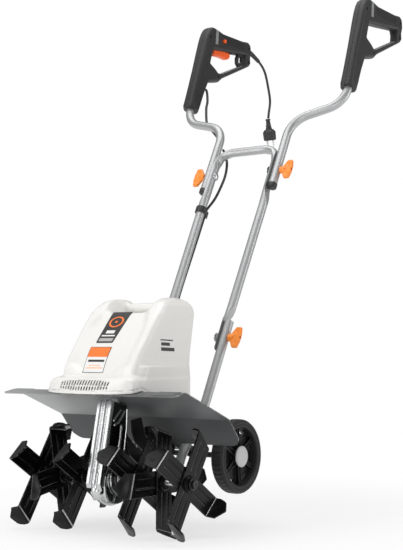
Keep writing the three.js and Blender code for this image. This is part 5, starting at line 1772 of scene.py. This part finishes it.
def plug():
    """A ribbed boot, a body with finger ridges and two pins."""
    boot = spun([(0, -1.0), (9.4, -1.0), (9.0, 1.5), (8.2, 4.6), (7.4, 7.2), (7.8, 8.0),
                 (7.8, 10.0), (7.1, 10.8), (6.6, 13.0), (7.0, 13.8), (7.0, 15.8), (6.3, 16.6),
                 (5.9, 18.8), (6.3, 19.6), (6.3, 21.6), (5.6, 22.4), (5.4, 24.6), (7.4, 25.4),
                 (7.4, 27.6), (6.4, 29), (4.6, 30), (0, 30)], 0.5, 2, 40)
    points, faces = spun([(0, -32), (14.5, -32), (15.0, -31.2), (16.8, -31.0), (17.6, -29.6),
                          (18.0, -20), (18.3, -9.4), (18.0, -7.2), (12.4, -0.6), (9.0, 0.0),
                          (0, 0)], 0.8, 3, 96)
    radius = np.hypot(points[:, 1], points[:, 2])
    angle = np.arctan2(points[:, 2], points[:, 1])
    gripped = (points[:, 0] < -8.5) & (points[:, 0] > -30.5) & (radius > 16.5)
    groove = np.where(gripped, 0.85 * (np.cos(angle * 16) < -0.1), 0.0)
    points[:, 1:] *= ((radius - groove) / np.maximum(radius, 1e-6))[:, None]
    body = moved(turned(merge(boot, (points, faces)), PLUG_TURN), PLUG_PLACE)
    put("plug_body", body, "plastic", "handle_left", "plug", sharp=34)
    pin = spun([(0, -50.8), (1.6, -50.6), (2.3, -49.4), (2.35, -40), (2.35, -31.5), (0, -31.5)],
               0.3, 2, 24)
    pins = [moved(turned(pin, PLUG_TURN), PLUG_PLACE + (x, 0, 0)) for x in (-9.5, 9.5)]
    put("plug_pins", merge(*pins), "steel", "handle_left", "plug", sharp=30)


def clip_field(x, y, z):
    """A ring round the left leg with a split cradle; z runs along the leg, y backwards."""
    width = band(z, 0, 7.9)
    radius = np.sqrt(x * x + y * y)
    cradle = np.sqrt(x * x + (y - 18.6) ** 2)
    clip = overlap(band(radius, 12.5, 1.5), width, 0.8)
    clip = join(clip, overlap(band(cradle, 5.8, 1.4), width, 0.8), 1.0)
    neck = overlap(band(x, 0, 4.0), band(y, 13.4, 1.4), 0.5)
    clip = join(clip, overlap(neck, width, 0.8), 1.2)
    clip = overlap(clip, 11.05 - radius, 0.2)
    clip = overlap(clip, 4.45 - cradle, 0.2)
    split = overlap(band(x, 0, 1.1), 22.0 - y, 0.4)
    clip = cut(clip, overlap(split, band(z, 0, 20.0), 0.4), 0.5)
    # two grooves round the ring
    return cut(clip, overlap(band(radius, 14.2, 0.6), band(np.abs(z), 4.2, 0.7), 0.4), 0.3)


def lead_clip():
    clip = turned(solid(clip_field, (-18, -18, -11), (18, 30, 11), 0.6), UPRIGHT_TO_TUBES)
    put("lead_clip", moved(clip, in_plane(-88, 600)), "plastic", "u_frame", "cable_clip")


motor_lead("upper", UPPER_LEAD, "handle_left")
motor_lead("middle", MIDDLE_LEAD, "u_frame")
motor_lead("lower", LOWER_LEAD, "chassis")
supply_cord()
plug()
lead_clip()

# ------------------------------------------------------------------ finish of the CAD pieces
# start of the object's name, material
CAD_FINISH = (
    ("tine_shaft", "steel"), ("shaft_bolt", "steel"), ("tine_star", "black"),
    ("rear_bracket", "bracket"), ("wheel_bracket", "bracket"), ("wheel_axle", "bracket"),
    ("wheel_right", "wheel"), ("wheel_left", "wheel"), ("hubcap", "cap"),
    ("shaft_seal", "seal"), ("gearcase", "cast"), ("grip_", "grip"), ("trigger", "trigger"),
    ("lock_button", "trigger"), ("motor_lead", "cable"), ("cable_clip", "plastic"),
    ("supply_cord", "cable"), ("plug", "plastic"),
)


def finish_cad_pieces():
    """Gives CAD pieces that still have their own material the one of their visible part."""
    own_names = {material.name for material in MATERIALS.values()}
    for obj in bpy.data.objects:
        if obj.type != "MESH" or not obj.data.materials:
            continue
        materials = obj.data.materials
        for start, key in CAD_FINISH:
            if (obj.name.startswith(start) and materials[0] is not None
                    and materials[0].name not in own_names):
                for k in range(len(materials)):
                    materials[k] = MATERIALS[key]


finish_cad_pieces()

# ------------------------------------------------------------------ stage, light, camera
# The stage is turned with the camera, which looks from the front right. Units: metres.
VIEW_TURN, VIEW_TILT = radians(34.89), radians(3.59)
CAMERA_PLACE = np.array([1580.3, -1944.0, 261.0]) / 1000 + ORIGIN
FLOOR_GAP = 0.0004
FLOOR_RADII = [0.3, 0.6, 0.9, 1.3, 1.8, 2.5, 4.0, 7.0, 14.0]
# name, place (right of view, away from the camera, up), target, size, watts
LIGHTS = (
    ("softbox_top", (-0.3, -0.2, 2.9), (0, 0, 0.4), (2.6, 2.2), 34),
    ("softbox_left", (-2.3, -1.5, 1.3), (0, 0, 0.45), (1.5, 2.2), 27),
    ("softbox_right", (2.1, -0.4, 1.1), (0.1, 0.1, 0.5), (0.5, 2.2), 11),
    ("softbox_front", (-0.5, -3.0, 0.75), (0, -0.2, 0.25), (0.7, 1.1), 8),
)
# position and grey level of the sky, from below the horizon to the zenith
SKY_ENDS = (0.62, 1.0)
SKY_STOPS = ((0.20, 0.60), (0.34, 0.34), (0.62, 0.52))


def link_object(name, data):
    obj = bpy.data.objects.new(name, data)
    bpy.context.scene.collection.objects.link(obj)
    return obj


def floor(count=64):
    """A round pale floor just under the machine."""
    points = [(0.0, 0.0, 0.0)]
    for radius in FLOOR_RADII:
        points += [(radius * cos(2 * pi * k / count), radius * sin(2 * pi * k / count), 0.0)
                   for k in range(count)]
    faces = [(0, 1 + k, 1 + (k + 1) % count) for k in range(count)]
    for j in range(len(FLOOR_RADII) - 1):
        a, b = 1 + j * count, 1 + (j + 1) * count
        faces += [(a + k, b + k, b + (k + 1) % count, a + (k + 1) % count) for k in range(count)]
    mesh = bpy.data.meshes.new("floor")
    mesh.from_pydata(points, [], faces)
    mesh.polygons.foreach_set("use_smooth", np.ones(len(mesh.polygons), bool))
    mesh.materials.append(MATERIALS["floor"])
    obj = link_object("floor", mesh)
    obj.rotation_euler[2] = VIEW_TURN
    obj.location = (0, 0, CAD_BOX[0][2] - FLOOR_GAP)


def softboxes():
    right_way = np.array([cos(VIEW_TURN), sin(VIEW_TURN)])
    away_way = np.array([-sin(VIEW_TURN), cos(VIEW_TURN)])
    for name, (right, away, up), target, size, watts in LIGHTS:
        light = bpy.data.lights.new(name, "AREA")
        light.shape = "RECTANGLE"
        light.size, light.size_y = size
        light.energy = watts
        obj = bpy.data.objects.new(name, light)
        x, y = right_way * right + away_way * away
        place = (float(x), float(y), up)
        obj.location = place
        look = Vector(target) - Vector(place)
        obj.rotation_euler = look.to_track_quat("-Z", "Y").to_euler()
        bpy.context.scene.collection.objects.link(obj)


def studio_world():
    """A grey sky for light and reflections; the camera itself sees plain white."""
    world = bpy.data.worlds.new("studio")
    bpy.context.scene.world = world
    world.use_nodes = True
    graph = Graph(world.node_tree)
    graph.tree.nodes.clear()
    way = graph.add("SeparateXYZ", {0: graph.add("TexCoord").outputs["Generated"]})
    sky = graph.add("ValToRGB", {0: graph.ranged(way.outputs[2], -0.25, 1.0, 0.0, 1.0)})
    stops = sky.color_ramp.elements
    for k, level in enumerate(SKY_ENDS):
        stops[k].position = float(k)
        stops[k].color = (level, level, level, 1)
    for position, level in SKY_STOPS:
        stops.new(position).color = (level, level, level, 1)
    lit = graph.add("Background", {0: sky.outputs[0], 1: 0.72})
    seen = graph.add("Background", {0: (1, 1, 1, 1), 1: 1.0})
    is_camera = graph.add("LightPath").outputs["Is Camera Ray"]
    mixed = graph.add("MixShader", {0: is_camera, 1: lit.outputs[0], 2: seen.outputs[0]})
    graph.add("OutputWorld", {0: mixed.outputs[0]})


def camera():
    scene = bpy.context.scene
    data = bpy.data.cameras.new("camera")
    obj = link_object("camera", data)
    obj.location = tuple(CAMERA_PLACE)
    obj.rotation_euler = (pi / 2 + VIEW_TILT, 0, VIEW_TURN)
    data.lens, data.sensor_width, data.sensor_fit = 79.02, 36.0, "AUTO"
    data.clip_start, data.clip_end = 0.05, 60
    scene.camera = obj
    scene.view_settings.view_transform = "Standard"
    scene.view_settings.look = "None"
    scene.view_settings.exposure = 0.0
    scene.view_settings.gamma = 1.0


floor()
softboxes()
studio_world()
camera()
